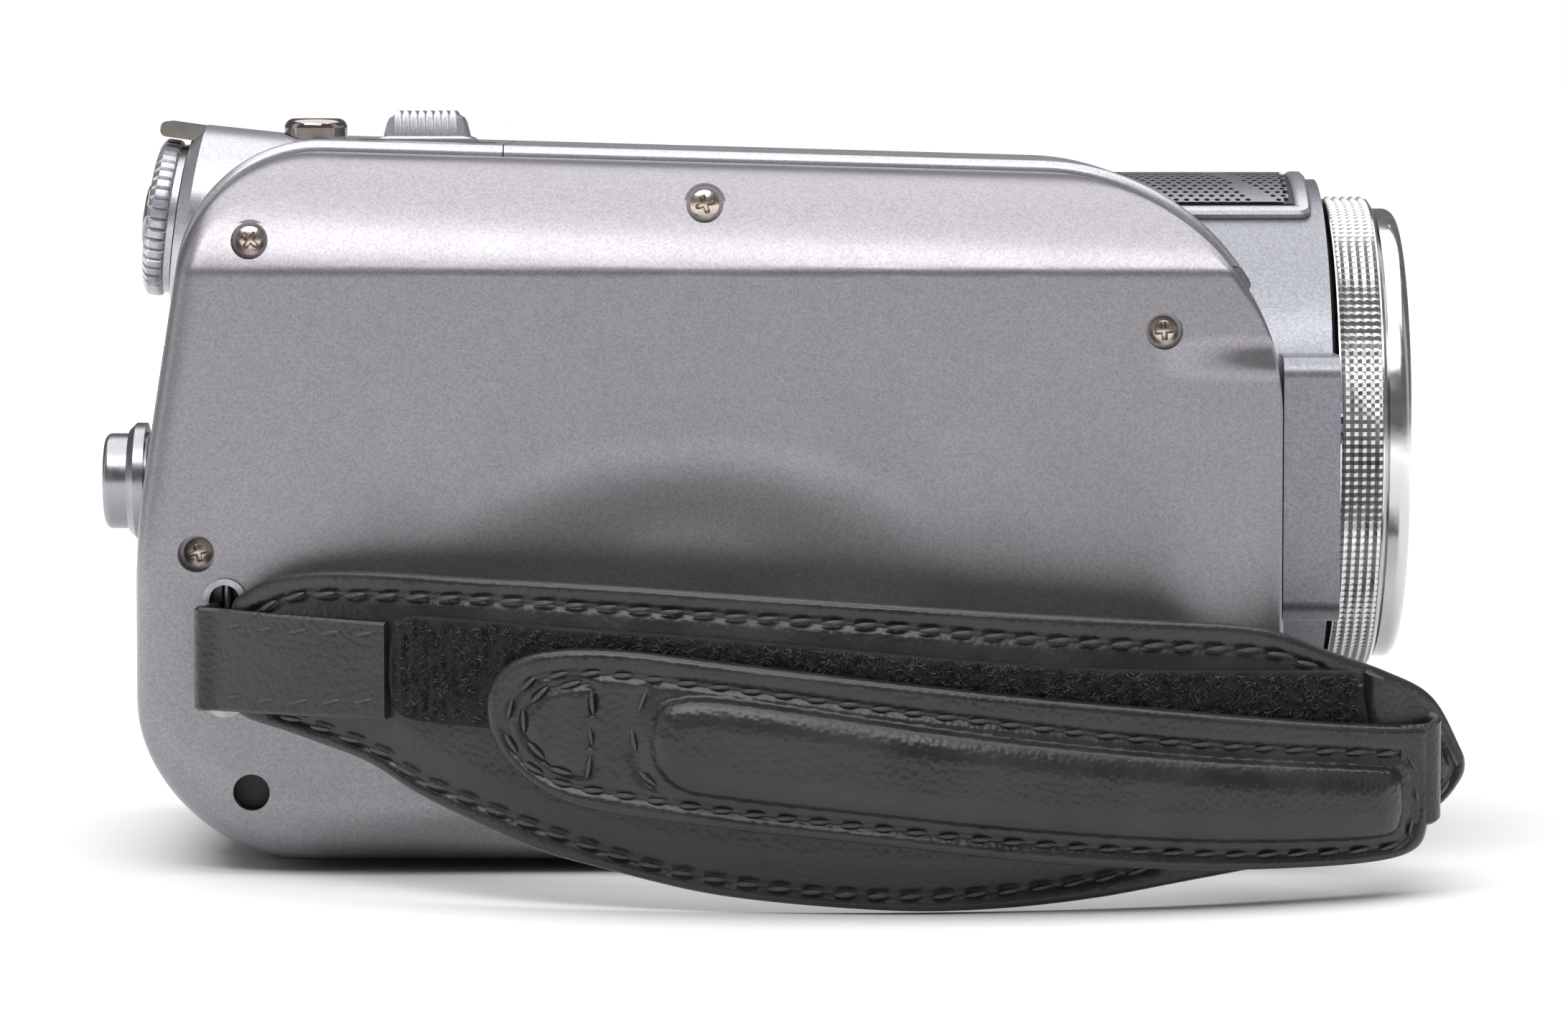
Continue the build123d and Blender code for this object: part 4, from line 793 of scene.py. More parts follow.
# %% Dial with a grooved rim
def turned_about(centre, axis, profile, in_groove, pattern, repeats, drop):
    """Point = centre - depth x axis + radius (cos a u + sin a v), closed both ways. The radius drops by
    drop where the pattern of a cell is 0, for the profile points marked in in_groove."""
    axis = np.array(axis) / np.linalg.norm(axis)
    u = np.array([0.0, 1.0, 0.0])
    v = np.cross(axis, u)
    count = len(pattern) * repeats
    a = np.arange(count) / count * math.tau
    low = 1.0 - np.tile(pattern, repeats)
    radius = profile[None, :, 1] - drop * np.outer(low, in_groove)
    out = radius[..., None] * (np.cos(a)[:, None, None] * u + np.sin(a)[:, None, None] * v)
    points = np.array(centre) - profile[None, :, :1] * axis + out
    return points, grid_faces(count, len(profile), True, True)


DIAL_LEAN = 8.0     # degrees that the axis leans back
DIAL_GROOVES = 46
DIAL_SEAT = 3.0     # depth of the dial's collar, down to the pod that it turns on


def mode_dial():
    """Middle of the rim = low corner of the box + radius (sin lean, cos lean), less the hub behind it."""
    tilt = math.radians(DIAL_LEAN)
    axis = (-math.cos(tilt), 0, math.sin(tilt))
    dial_low, dial_high = box_mm("mode_dial")
    middle = (dial_low + dial_high) / 2
    radius = (dial_high[1] - dial_low[1]) / 2
    centre = np.array([dial_low[0] + radius * math.sin(tilt), middle[1],
                       dial_low[2] + radius * math.cos(tilt) + 0.3])
    profile = np.array([(0.5, 3.3), (0.15, 3.5), (0.0, 4.2), (0.0, radius - 1.3), (0.15, radius - 0.7),
                        (0.5, radius - 0.15), (0.7, radius), (1.3, radius), (1.75, radius),
                        (2.0, radius - 0.1), (2.2, radius - 0.4), (DIAL_SEAT - 0.15, radius - 0.3),
                        (DIAL_SEAT, radius - 0.6), (DIAL_SEAT, 3.3)])
    marked = np.array([0, 0, 0, 0, 0.4, 1, 1, 1, 1, 1, 0, 0, 0, 0])
    points, faces = turned_about(centre, axis, profile, marked, [0, 1, 1, 1, 1], DIAL_GROOVES, 0.32)
    return stand_for(make_mesh("grooved_mode_dial", points, faces, SILVER, 25.0), "mode_dial")


mode_dial()

# %% [markdown]
# ## The microphone grille
# Two fields of 0.56 mm holes on a staggered 1 mm grid are punched in a curved sheet, with a slanting
# plain strip between them. A bevelled frame holds it. The holes are geometry: each cell of the sheet is
# a rectangle round an eight-sided hole, and the rows are shifted by half a cell.

# %% Perforated sheet and its frame
MIC_LOW, MIC_HIGH = box_mm("mic_frame")
SHROUD_R = 25.2
LENS_AXIS = (0.0, (box_mm("focus_ring")[0][2] + box_mm("focus_ring")[1][2]) / 2)


def on_shroud(x, arc, radius):
    """A point over the shroud: y = -radius sin(arc / R), z = axis + radius cos(arc / R)."""
    x, arc, radius = np.broadcast_arrays(x, arc, radius)
    a = arc / SHROUD_R
    return np.stack([x, LENS_AXIS[0] - radius * np.sin(a), LENS_AXIS[1] + radius * np.cos(a)], -1)


def perforated_sheet(pitch=1.0, row_pitch=0.87, hole=0.28):
    """Four rings of eight points a cell: border and hole on the outside, hole and border below."""
    x0, x1 = MIC_LOW[0] + 1.3, MIC_HIGH[0] - 1.3
    half = 11.9
    columns, rows = int((x1 - x0) / pitch), int(2 * half / row_pitch)
    c, r = np.meshgrid(np.arange(columns - 1), np.arange(rows), indexing="ij")
    cx = (x0 + pitch * (c + 0.5) + pitch / 2 * (r % 2)).ravel()
    cz = (-half + row_pitch * (r + 0.5)).ravel()
    slant = np.abs(cx - (41.9 + 0.42 * cz)) > 0.85
    size = np.where(slant, hole, 0.012)
    bx = np.array([-1, 0, 1, 1, 1, 0, -1, -1]) * pitch / 2
    bz = np.array([-1, -1, -1, 0, 1, 1, 1, 0]) * row_pitch / 2
    angle = np.arctan2(bz, bx)
    px = np.stack([cx[:, None] + bx, cx[:, None] + size[:, None] * np.cos(angle),
                   cx[:, None] + size[:, None] * np.cos(angle), cx[:, None] + bx], 1)
    pz = np.stack([cz[:, None] + bz, cz[:, None] + size[:, None] * np.sin(angle),
                   cz[:, None] + size[:, None] * np.sin(angle), cz[:, None] + bz], 1)
    radius = SHROUD_R + np.array([0.72, 0.72, 0.55, 0.55])[None, :, None]
    points = on_shroud(px, pz, radius)
    one = grid_faces(4, 8, wrap_cols=True)
    faces = (one[None] + 32 * np.arange(len(cx))[:, None, None]).reshape(-1, 4)
    sheet = make_mesh("perforated_mic_sheet", points, faces, GRAPHITE, 20.0)
    ride_on(sheet, "mic_grille")
    print("microphone holes", int(slant.sum()))


def mic_frame():
    """A bevelled section carried round a rounded rectangle on the shroud."""
    half = SHROUD_R * math.radians(31.0)
    corners = [(MIC_LOW[0], -half), (MIC_LOW[0], half), (MIC_HIGH[0], half), (MIC_HIGH[0], -half)]
    path = rounded_outline(corners, [1.2] * 4, 260)
    outward = outline_normals(path)
    if outward[0] @ (path[0] - path.mean(0)) < 0:
        outward = -outward
    inset = np.array([0.0, 0.0, 0.3, 1.0, 1.35, 1.6, 1.6])
    rise = np.array([0.05, 0.5, 0.78, 0.8, 0.72, 0.45, 0.05])
    at = path[:, None] - outward[:, None] * inset[None, :, None]
    points = on_shroud(at[..., 0], at[..., 1], SHROUD_R + rise[None])
    return stand_for(make_mesh("bevelled_mic_frame", points, grid_faces(260, 7, True, True), SILVER, 35.0),
                     "mic_frame")


perforated_sheet()
mic_frame()
nodes["mic_grille"].data.materials[0] = BLACK


# %% [markdown]
# ## The zoom lever
# The lever is a low trapezoid with eight finger ribs along its top and a thin skirt at its foot. Its
# section, which is seen from the side, is carried across, and cut down at both ends by a sloping face.

# %% Ribbed zoom lever
RIBS, RIB_RISE, RIB_SPAN = 8, 0.42, 6.1


def zoom_lever():
    """Section: skirt, sloping side, ribs of 0.42 |sin|^0.7 mm, sloping side, skirt. Near the ends its
    height is limited to a value that falls to the skirt's."""
    low, high = box_mm("zoom_lever")
    foot = high[2] - 3.3
    middle, half = (low[0] + high[0]) / 2, (high[0] - low[0]) / 2
    ribs_x = np.linspace(-3.05, 3.05, 65)
    ribs_z = 2.85 + RIB_RISE * np.abs(np.sin((ribs_x + 3.05) / RIB_SPAN * RIBS * math.pi)) ** 0.7
    left = [(-half, 0.0), (-half, 0.35), (-half + 0.35, 0.62), (-half + 0.75, 0.75), (-3.75, 2.1),
            (-3.5, 2.6)]
    section = np.array(left + list(zip(ribs_x, ribs_z)) + [(-x, z) for x, z in left[::-1]])
    inset = np.array([0.0, 0.1, 0.25, 0.55, 0.85])
    cap = np.array([0.6, 0.78, 0.85, 2.6, 3.3])
    y = np.concatenate([low[1] + inset, high[1] - inset[::-1]])
    cap = np.concatenate([cap, cap[::-1]])[:, None]
    x = np.broadcast_to(section[None, :, 0], (10, len(section)))
    z = np.minimum(section[None, :, 1], cap)
    points = np.stack([middle + x, np.broadcast_to(y[:, None], x.shape), foot + z], -1)
    faces = grid_faces(10, len(section), wrap_cols=True).tolist()
    last = 9 * len(section)
    faces += [list(range(len(section)))[::-1], list(range(last, last + len(section)))]
    return stand_for(make_mesh("ribbed_zoom_lever", points, faces, SILVER, 30.0), "zoom_lever")


zoom_lever()

# %% [markdown]
# ## Sewn pieces
# The strap is cut flat and bows outwards in use, so every layer of it is worked out on one cylinder,
# whose axis is upright. A point is given by its x, its z and its height above the pad's back. Each piece
# is an outline with rows that close in on a line within it, so the same rows make rounded cut edges,
# grooves under the stitches and padding.

# %% The strap's cylinder and its curves
STRAP_X0, STRAP_X1 = REAR_X + 9.0, FRONT_X + 17.5
STRAP_MID = (STRAP_X0 + STRAP_X1) / 2
STRAP_BOW = 25.5    # how far the strap stands off the face in the middle
STRAP_SAG = STRAP_BOW - 3.6
STRAP_R = (((STRAP_X1 - STRAP_X0) / 2) ** 2 + STRAP_SAG ** 2) / (2 * STRAP_SAG)
STRAP_CY = FACE_Y - STRAP_BOW + STRAP_R


def strap_point(x, z, height):
    """y = centre - sqrt((radius + height)^2 - (x - middle)^2)."""
    x, z, height = np.broadcast_arrays(x, z, height)
    return np.stack([x, STRAP_CY - np.sqrt((STRAP_R + height) ** 2 - (x - STRAP_MID) ** 2), z], -1)


def smooth_curve(points, spacing, closed=True):
    """A Catmull-Rom curve through the points, resampled at an even spacing along its length."""
    p = np.array(points, float)
    if closed:
        p = np.concatenate([p[-1:], p, p[:2]])
    else:
        p = np.concatenate([2 * p[:1] - p[1:2], p, 2 * p[-1:] - p[-2:-1]])
    t = np.linspace(0, 1, 12, endpoint=False)[:, None, None]
    a, b, c, d = p[:-3], p[1:-2], p[2:-1], p[3:]
    curve = 0.5 * (2 * b + (c - a) * t + (2 * a - 5 * b + 4 * c - d) * t ** 2
                   + (3 * b - a - 3 * c + d) * t ** 3)
    curve = np.concatenate([curve.transpose(1, 0, 2).reshape(-1, p.shape[1]), p[-2:-1]])
    along = length_along(curve)
    count = max(4, int(round(along[-1] / spacing)))
    return points_at(curve, along, np.linspace(0, along[-1], count, endpoint=not closed))


def distance_to(x, z, path):
    """Distance from each point to the nearest sample of a path."""
    flat = np.stack([x, z], -1).reshape(-1, 1, 2)
    parts = [np.sqrt(((block - path[None, :, :2]) ** 2).sum(-1)).min(1)
             for block in np.array_split(flat, max(1, len(flat) // 4000))]
    return np.concatenate(parts).reshape(np.shape(x))


def inside_loop(x, z, loop):
    """True where a ray towards +x crosses the loop an odd number of times."""
    x0, z0 = loop[:, 0], loop[:, 1]
    x1, z1 = np.roll(x0, -1), np.roll(z0, -1)
    px, pz = x.reshape(-1, 1), z.reshape(-1, 1)
    crosses = (z0 > pz) != (z1 > pz)
    at = x0 + (pz - z0) * (x1 - x0) / np.where(z1 == z0, 1e-9, z1 - z0)
    return ((crosses & (px < at)).sum(1) % 2 == 1).reshape(x.shape)


def lumps(x, z, size, seed):
    """Smooth unevenness, -1 to 1: a sum of eight waves of random direction near the given length."""
    rng = np.random.default_rng(seed)
    angle, phase = rng.uniform(0, math.tau, 8), rng.uniform(0, math.tau, 8)
    pitch = size * rng.uniform(0.7, 1.5, 8)
    waves = [np.sin((x * math.cos(a) + z * math.sin(a)) * math.tau / s + f)
             for a, s, f in zip(angle, pitch, phase)]
    return np.sum(waves, 0) / 4


# %% A sewn layer and its stitches
def layer_piece(name, node, loop, core_x, core_z, back, front, material, rows=44, edge=0.5):
    """Rows close in from the loop on the line core_x[0]..core_x[1] at height core_z(x). The front is
    rounded off within edge of the outline and the back is flat. Facing points meet on the line."""
    loop, middle_x = paired_loop(loop, len(loop) // 2)
    core_at = np.clip(middle_x, *core_x)
    core = np.stack([core_at, core_z(core_at)], -1)
    s = np.concatenate([[0, 0.015, 0.035, 0.06], np.linspace(0.09, 1.0, rows - 4)])
    flat = loop[None] + s[:, None, None] * (core - loop)[None]
    x, z = flat[..., 0], flat[..., 1]
    inset = distance_to(x, z, loop)
    inset[0] = 0
    height = front(x, z, inset) - edge * (1 - np.sqrt(1 - np.clip(1 - inset / edge, 0, 1) ** 2))
    outer = strap_point(x, z, height)
    few = np.unique(np.linspace(0, rows - 1, 12).astype(int))
    inner = strap_point(x[few], z[few], back + 0 * x[few])
    grid = np.concatenate([outer[::-1], inner])
    piece = make_mesh(name, grid, grid_faces(len(grid), len(loop), wrap_cols=True), material, 50.0)
    return stand_for(piece, node)


def stitch_places(path, pitch):
    """Middle and direction of each stitch along a path of (x, z)."""
    along = length_along(path)
    count = int(along[-1] / pitch)
    at = (np.arange(count) + 0.5) * along[-1] / count
    ends = [points_at(path, along, at + d) for d in (-0.3, 0.3)]
    way = ends[1] - ends[0]
    return (ends[0] + ends[1]) / 2, way / np.linalg.norm(way, axis=1, keepdims=True)


def stitches(name, paths, height, pitch=2.9, length=2.1, radius=0.24):
    """Each stitch is a thread that rises from one hole and dives into the next: 7 rings of 6 points with
    radius r sqrt(1 - 0.9 u^2), lifted by 0.9 r (1 - u^2) - 0.12, turned 8 degrees off the seam."""
    u = np.linspace(-0.98, 0.98, 7)
    a = np.arange(6) * math.tau / 6
    parts = []
    for path in paths:
        middle, way = stitch_places(path, pitch)
        turn = math.radians(8)
        way = np.stack([way[:, 0] * math.cos(turn) - way[:, 1] * math.sin(turn),
                        way[:, 0] * math.sin(turn) + way[:, 1] * math.cos(turn)], -1)
        side = np.stack([-way[:, 1], way[:, 0]], -1)
        girth = radius * np.sqrt(1 - u ** 2 * 0.9)
        centre = middle[:, None] + way[:, None] * (u * length / 2)[None, :, None]
        flat = (centre[:, :, None] + side[:, None, None] * (girth[None, :, None] * np.cos(a))[..., None])
        base = height(middle[:, 0], middle[:, 1])[:, None, None]
        lift = base + (radius * 0.9 * (1 - u ** 2) - 0.12)[None, :, None] + girth[None, :, None] * np.sin(a)
        points = strap_point(flat[..., 0], flat[..., 1], lift)
        caps = [list(range(6))[::-1], list(range(36, 42))]
        parts.append((points, many_faces(grid_faces(7, 6, wrap_cols=True), caps, 7 * 6, len(middle))))
    points, faces = join_parts(parts)
    piece = make_mesh(name, points, faces, THREAD, 60.0)
    print(name, len(faces) // (6 * 6 + 2), "stitches")
    return ride_on(piece, "hand_pad")


def seam(x, z, paths, depth=0.35, width=0.5):
    """The pull of a row of stitches: depth x exp(-(distance / width)^2)."""
    return sum(depth * np.exp(-(distance_to(x, z, path) / width) ** 2) for path in paths)


# %% [markdown]
# Strap leather is split hide or a coated cloth, embossed with a pebble grain. The pebbles are about
# half a millimetre across, and they take the sheen off in patches. The thread is waxed polyester.

# %% Leather, thread and loop pile
def grained_leather(name, dark, light):
    """Embossed black leather: rounded pebbles with creases between them, over slow creasing."""
    material, tree, shader = new_material(name, Specular_IOR_Level=0.45)
    at = object_space(tree)
    pebble = add(tree, "ShaderNodeTexVoronoi", {"Scale": per_mm(0.55), "Smoothness": 0.6},
                 {"Vector": at}, feature="SMOOTH_F1")
    slow = grain(tree, 7.0, 3.0, at)
    tree.links.new(ramp(tree, slow, 0.35, 0.65, dark, light), shader.inputs["Base Color"])
    tree.links.new(span(tree, slow, 0.27, 0.40), shader.inputs["Roughness"])
    bump(tree, shader, pebble.outputs["Distance"], 0.09, 0.55).invert = True
    return material


LEATHER = grained_leather("pebbled black leather", "#1f1d1d", "#2b2929")
THREAD = moulded("waxed polyester thread", "#2a2624", "#4a4340", 0.5, 0.12, 0.03)
PILE = moulded("napped nylon loop pile", "#010101", "#070807", 0.8, 0.35, 0.2)

# %% Hand pad
PAD_THICKNESS = 1.75
PAD_TOP = [(-51.8, 26.0), (-50.2, 27.8), (-47.7, 29.1), (-43.7, 29.9), (-37.8, 30.2), (-28, 30.0),
           (-16.7, 29.7), (-5.5, 29.1), (8.6, 28.2), (20.7, 27.3), (33, 26.4), (41.4, 25.7),
           (45.6, 24.8), (50, 23.0), (56, 20.6), (60.5, 18.0), (63.3, 13.2), (63.9, 11.4)]
PAD_LOW = [(63.3, 9.8), (61, 7.6), (56, 5.4), (48, 3.9), (37, 2.4), (28, 1.1), (18.7, 0.4), (9, 0.4),
           (-5.5, 1.6), (-16.7, 3.9), (-22, 5.2), (-28, 7.5), (-33.5, 9.9), (-37, 11.9), (-39.7, 13.1),
           (-45.7, 14.8), (-51.2, 16.4), (-51.9, 20.0)]
pad_loop = smooth_curve(PAD_TOP + PAD_LOW, 0.5)
pad_seams = [
    smooth_curve([(-49.5, 25.9), (-45.3, 27.7), (-39.7, 28.1), (-28, 28.2), (-16.7, 27.8), (-5.5, 27.2),
                  (8.6, 26.3), (20.7, 25.2), (33, 24.2), (39.3, 23.7), (44.7, 23.1), (49.5, 21.4)],
                 0.4, False),
    smooth_curve([(-47.3, 16.6), (-41.7, 15.2), (-37, 13.6), (-34, 11.7), (-28, 9.4), (-20.5, 6.8),
                  (-11, 4.1), (-1.8, 2.6), (6.6, 1.9), (14.6, 1.8), (22.8, 2.3), (28.9, 3.0), (33.8, 3.9)],
                 0.4, False),
    smooth_curve([(60.0, 16.6), (62.3, 12.9), (62.6, 11.3), (61.8, 9.6), (60.2, 8.4)], 0.4, False)]


def pad_height(x, z, inset=9.0):
    """Front of the pad: 1.75 mm, 0.45 more over its soft middle, slow unevenness, less the seams."""
    soft = 0.45 * smoothstep((inset - 1.9) / 3.0) + 0.12 * lumps(x, z, 26.0, 3)
    return PAD_THICKNESS + soft - seam(x, z, pad_seams)


pad = layer_piece("leather_hand_pad", "hand_pad", pad_loop, (-44.0, 56.0),
                  lambda x: np.interp(x, [-44, -30, 0, 30, 56], [21.5, 18.5, 15.0, 13.5, 12.4]),
                  0.0, pad_height, LEATHER, rows=60)
stitches("pad_stitches", pad_seams, lambda x, z: pad_height(x, z) + 0.1)

# %% Tongue: the padded flap with its stitched panel
TONGUE_BACK, TONGUE_FRONT = 3.55, 5.75    # heights above the pad's back
PANEL_PADDING = 1.9
TONGUE_EDGE = [(-27.0, 18.7), (-26.5, 20.9), (-24.8, 22.7), (-22.1, 23.8), (-18, 24.2), (-12.9, 24.0),
               (-5.5, 23.2), (8.5, 21.6), (20.5, 20.2), (32.7, 18.8), (40.9, 17.8), (49.3, 16.8),
               (56.0, 16.1), (59.0, 15.9), (59.5, 15.4), (59.6, 10.5), (59.5, 6.2), (58.0, 4.3),
               (53.6, 3.6), (45.1, 3.6), (37.6, 3.9), (28.6, 4.5), (20.6, 5.3), (8.5, 6.8),
               (-5.5, 8.2), (-16.6, 9.6), (-21, 10.9), (-24.4, 13.2), (-26.4, 16.0)]
tongue_loop = smooth_curve(TONGUE_EDGE, 0.42)
tongue_seams = [
    smooth_curve([(-25.2, 17.2), (-24.4, 19.6), (-22.9, 21.2), (-20.3, 21.9), (-16.6, 22.1), (-12.9, 21.8),
                  (-1.8, 20.6), (8.5, 19.2), (20.6, 17.6), (36.8, 15.5), (53.7, 13.8), (57.5, 13.2),
                  (58.4, 10.6), (58.2, 7.8), (57.0, 5.4), (53.7, 4.9), (45.2, 5.0), (36.8, 5.5),
                  (20.6, 7.0), (8.5, 8.4), (-5.5, 9.9), (-16.6, 11.4), (-19.5, 11.9), (-22.3, 13.0),
                  (-24.5, 15.0)], 0.35),
    smooth_curve([(-17.6, 20.9), (-17.5, 17.5), (-17.8, 13.2), (-20.3, 13.2), (-22.4, 14.9), (-23.6, 17.2),
                  (-22.9, 19.3), (-20.9, 20.7)], 0.35),
    smooth_curve([(-11.8, 21.2), (-12.7, 19.8), (-13.5, 17.9), (-13.5, 15.3), (-12.7, 13.1), (-10.9, 11.4)],
                 0.35, False)]
panel_loop = smooth_curve([(-12.1, 17.3), (-11.4, 19.2), (-9.4, 20.1), (-6, 20.2), (0.5, 19.4), (8.5, 18.2),
                           (20.5, 16.5), (36.8, 14.5), (53.6, 12.8), (56.4, 12.1), (57.2, 10.4),
                           (57.1, 7.6), (55.7, 6.0), (49.3, 5.9), (36.8, 6.5), (20.6, 8.0), (8.5, 9.4),
                           (-5.5, 10.9), (-9.5, 11.7), (-11.6, 13.6), (-12.2, 15.6)], 0.35)


def tongue_height(x, z, inset=9.0):
    """Leathers sewn together, 2.2 mm thick, with up to 1.9 mm of foam under the panel: a quarter round
    3 mm wide, 1.9 sqrt(1 - (1 - t)^2), softened where it starts."""
    depth_in = distance_to(x, z, panel_loop) * inside_loop(np.asarray(x), np.asarray(z), panel_loop)
    t = np.clip(depth_in / 3.0, 0, 1)
    padding = PANEL_PADDING * np.sqrt(1 - (1 - t) ** 2) * smoothstep(t * 6)
    tip = 0.25 * inside_loop(np.asarray(x), np.asarray(z), tongue_seams[1])
    return TONGUE_FRONT + padding + tip + 0.07 * lumps(x, z, 19.0, 8) - seam(x, z, tongue_seams, 0.4)


tongue = layer_piece("leather_tongue", "strap_tongue", tongue_loop, (-20.0, 53.0),
                     lambda x: np.interp(x, [-20, -5, 20, 53], [17.2, 15.7, 12.6, 9.8]),
                     TONGUE_BACK, tongue_height, LEATHER, rows=56, edge=0.7)
stitches("tongue_stitches", tongue_seams, lambda x, z: tongue_height(x, z) + 0.12)


# %% [markdown]
# The two bands are narrow strips. Their path is a curve seen from above, and the strip stands on it
# like a fence, with its own low and high edge at each point. The tab folds round the rear pin, and the
# front band comes out through the slit and folds back into the tongue.

# %% Bands that fold round the pins
def strip(name, node, path, low, high, thickness, material, turned_in=0.25):
    """A fence along path (x, y): eight points a section, the corners turned in by turned_in."""
    way = np.gradient(path, axis=0)
    way /= np.linalg.norm(way, axis=1, keepdims=True)
    across = np.stack([way[:, 1], -way[:, 0]], -1)
    half, c = thickness / 2, turned_in
    off = np.array([-half, -half, -half + c, half - c, half, half, half - c, -half + c])
    rise = np.array([c, -c, 0, 0, -c, c, 0, 0])
    top = np.array([0, 1, 1, 1, 1, 0, 0, 0], bool)
    z = np.where(top[None], high[:, None], low[:, None]) + rise[None]
    xy = path[:, None] + across[:, None] * off[None, :, None]
    points = np.concatenate([xy, z[..., None]], -1)
    faces = grid_faces(len(path), 8, wrap_cols=True).tolist()
    faces += [list(range(8)), list(range(8 * len(path) - 8, 8 * len(path)))[::-1]]
    return stand_for(make_mesh(name, points, faces, material, 40.0), node)


def on_strap(x, height):
    """The (x, y) of the strap's cylinder, seen from above."""
    return strap_point(x, 0.0, height)[..., :2]


FOLD_R = 0.95   # middle of the leather where it turns round a pin


def loop_round(pin_x, side, pin_y):
    """Half a turn behind a pin, 0.95 mm from its axis, starting on the side away from the fold."""
    a = np.linspace(0, math.pi, 9)
    return np.stack([pin_x + side * FOLD_R * np.cos(a), pin_y + FOLD_R * np.sin(a)], -1)


PIN_Y = FACE_Y + 2.6    # the strap pins lie just behind the face
REAR_SLOT, FRONT_SLOT = SLOTS
tab_path = np.concatenate([
    [(REAR_SLOT[0] + 0.9, FACE_Y + 0.6)], loop_round(REAR_SLOT[0], 1, PIN_Y),
    [(REAR_SLOT[0] - 1.0, FACE_Y - 1.0), (REAR_SLOT[0] - 1.5, FACE_Y - 5.0), (-54.5, -37.2), (-54.85, -38.5),
     (-54.4, -39.3)],
    on_strap(np.array([-53.0, -50.0, -46.0, -42.0, -38.5, -36.5]), 2.72)])
tab_path = smooth_curve(tab_path, 0.4, False)
along = np.linspace(0, 1, len(tab_path))
tab = strip("leather_tab", "rear_tab", tab_path,
            np.interp(tab_path[:, 0], [-55, -36], [16.5, 16.9]) + 0.4 * smoothstep((0.25 - along) / 0.2),
            np.interp(tab_path[:, 0], [-55, -36], [26.2, 25.8]) - 0.4 * smoothstep((0.25 - along) / 0.2),
            0.9, LEATHER)
tab_seams = [smooth_curve([(-52.9, z0), (-46, z0 - 0.1), (-37.2, z1)], 0.4, False)
             for z0, z1 in ((24.7, 24.7), (18.1, 18.6))]
stitches("tab_stitches", tab_seams, lambda x, z: 3.1 + 0 * x)

front_path = np.concatenate([
    [(FRONT_SLOT[0] - 0.9, FACE_Y + 0.6)], loop_round(FRONT_SLOT[0], -1, PIN_Y),
    [(FRONT_SLOT[0] + 1.2, FACE_Y - 2.0), tuple(on_strap(50.7, -4.0)), tuple(on_strap(53.4, 0.6)),
     tuple(on_strap(55.0, 2.7)), tuple(on_strap(57.6, 3.0)), tuple(on_strap(59.6, 3.3)),
     tuple(on_strap(60.4, 4.2)), tuple(on_strap(60.1, 5.0)), tuple(on_strap(58.8, 5.15)),
     tuple(on_strap(56.6, 5.1))]])
front_path = smooth_curve(front_path, 0.3, False)
along = np.linspace(0, 1, len(front_path))
drop = smoothstep((along - 0.62) / 0.3)
band = strip("leather_front_band", "front_band", front_path, 11.6 - 4.9 * drop, 21.4 - 5.3 * drop,
             1.0, LEATHER)


# %% [markdown]
# The loop side of the fastener is a knitted tape with thousands of nylon loops. From arm's length it reads as
# black with bright specks, ribbed where it was made and ruffled where the hooks have pulled it. The specks
# are painted sheen: lighter patches in the loops' colour. The tape is a layer like the others, and 4400
# single loops stand on it.

# %% Loop-faced band
TAPE_EDGE = [(-36.2, 19.4), (-36.3, 22.0), (-36.1, 24.2), (-35.2, 26.0), (-33.6, 26.5), (-27, 26.3),
               (-16.7, 25.8), (-5.5, 25.2), (4.1, 24.4), (16, 23.3), (28.8, 22.3), (41.3, 21.7), (50, 21.3),
               (52.6, 21.0), (53.1, 19.8), (54.0, 16.4), (54.2, 12.8), (53.0, 11.2), (41, 11.6), (28.8, 12.2),
               (16, 13.2), (4, 14.3), (-16, 15.7), (-27, 16.5), (-31.8, 16.7), (-35.2, 17.3)]
tape_loop = smooth_curve(TAPE_EDGE, 0.5)


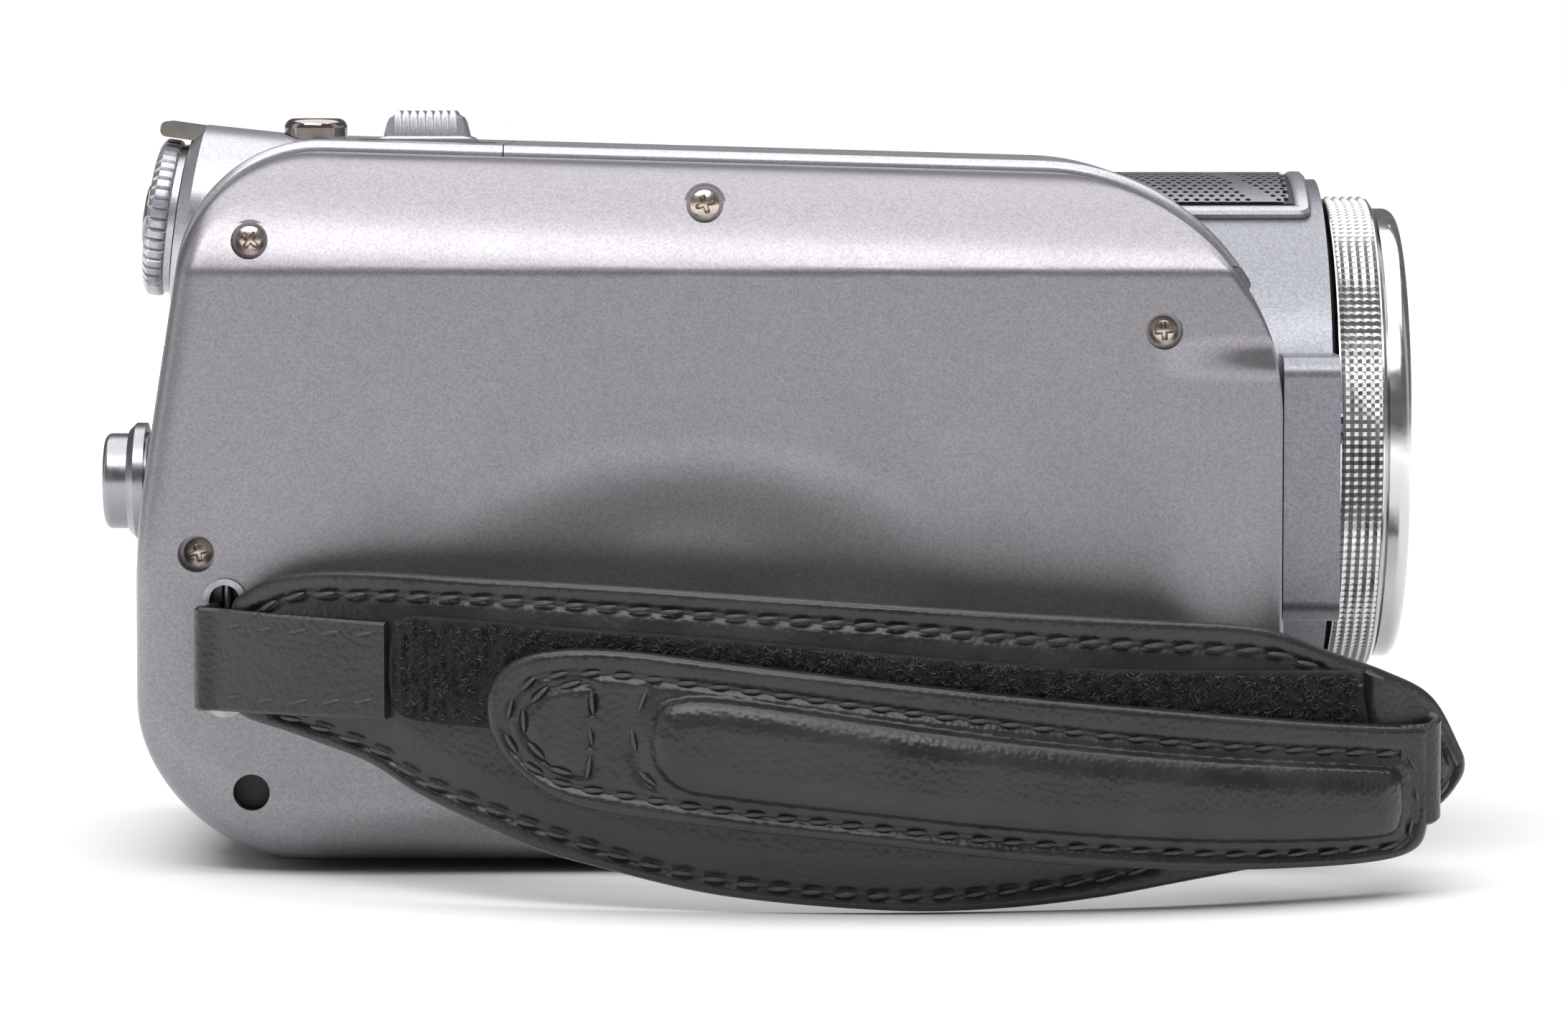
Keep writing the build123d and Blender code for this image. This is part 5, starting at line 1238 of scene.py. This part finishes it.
def pile_height(x, z, inset=9.0):
    """Front of the tape: ribs 0.95 mm apart at its rear end, and the ruffle of the loops."""
    ribs = 0.14 * np.cos(x * math.tau / 0.95) * smoothstep((-18.0 - x) / 8.0)
    return 3.05 + ribs + 0.13 * lumps(x, z, 1.3, 5) + 0.08 * lumps(x, z, 0.7, 6)


tape = layer_piece("loop_pile_band", "velcro_band", tape_loop, (-31.0, 48.0),
                   lambda x: np.interp(x, [-31, 0, 48], [21.4, 19.4, 16.4]), 2.2, pile_height, PILE,
                   rows=34, edge=0.4)


def pile_loops(count=4400):
    """Each loop is an arch: y rises by r sin a while the foot turns from one side to the other, as a
    three-sided thread of 0.045 mm. Feet and headings are random, on a fixed seed."""
    rng = np.random.default_rng(11)
    x = rng.uniform(-35.6, 53.2, count)
    top = np.interp(x, [-35.6, -16, 4, 28, 53.2], [26.0, 25.5, 24.1, 22.0, 20.7])
    z = top - rng.uniform(0, 1, count) * np.interp(x, [-27, -20], [8.8, 5.0])
    heading = rng.uniform(0, math.tau, count)
    r = rng.uniform(0.14, 0.40, count)
    a = np.linspace(-0.2, math.pi + 0.2, 6)
    b = np.arange(3) * math.tau / 3
    reach = (r[:, None] * np.cos(a))[:, :, None] + 0.045 * np.cos(b) * np.cos(a)[:, None]
    rise = (r[:, None] * np.sin(a))[:, :, None] + 0.045 * np.cos(b) * np.sin(a)[:, None]
    side = np.broadcast_to(0.045 * np.sin(b), reach.shape)
    ch, sh = np.cos(heading)[:, None, None], np.sin(heading)[:, None, None]
    flat_x = x[:, None, None] + reach * ch - side * sh
    flat_z = z[:, None, None] + reach * sh + side * ch
    points = strap_point(flat_x, flat_z, 3.0 + rise)
    faces = many_faces(grid_faces(6, 3, wrap_cols=True), [[2, 1, 0], [15, 16, 17]], 6 * 3, count)
    print(count, "single loops")
    return ride_on(make_mesh("pile_loops", points, faces, PILE_THREAD_WITH_PAINTED_SHEEN, 80.0), "velcro_band")


# Painted sheen: the thread's colour runs from near black to grey in patches about 0.9 mm across, lighter
# loops that stand in for glints of light off the nylon.
PILE_THREAD_WITH_PAINTED_SHEEN = moulded("nylon loop thread", "#0b0c0b", "#5a5d5a", 0.25, 0.9, 0.01)
pile_loops()
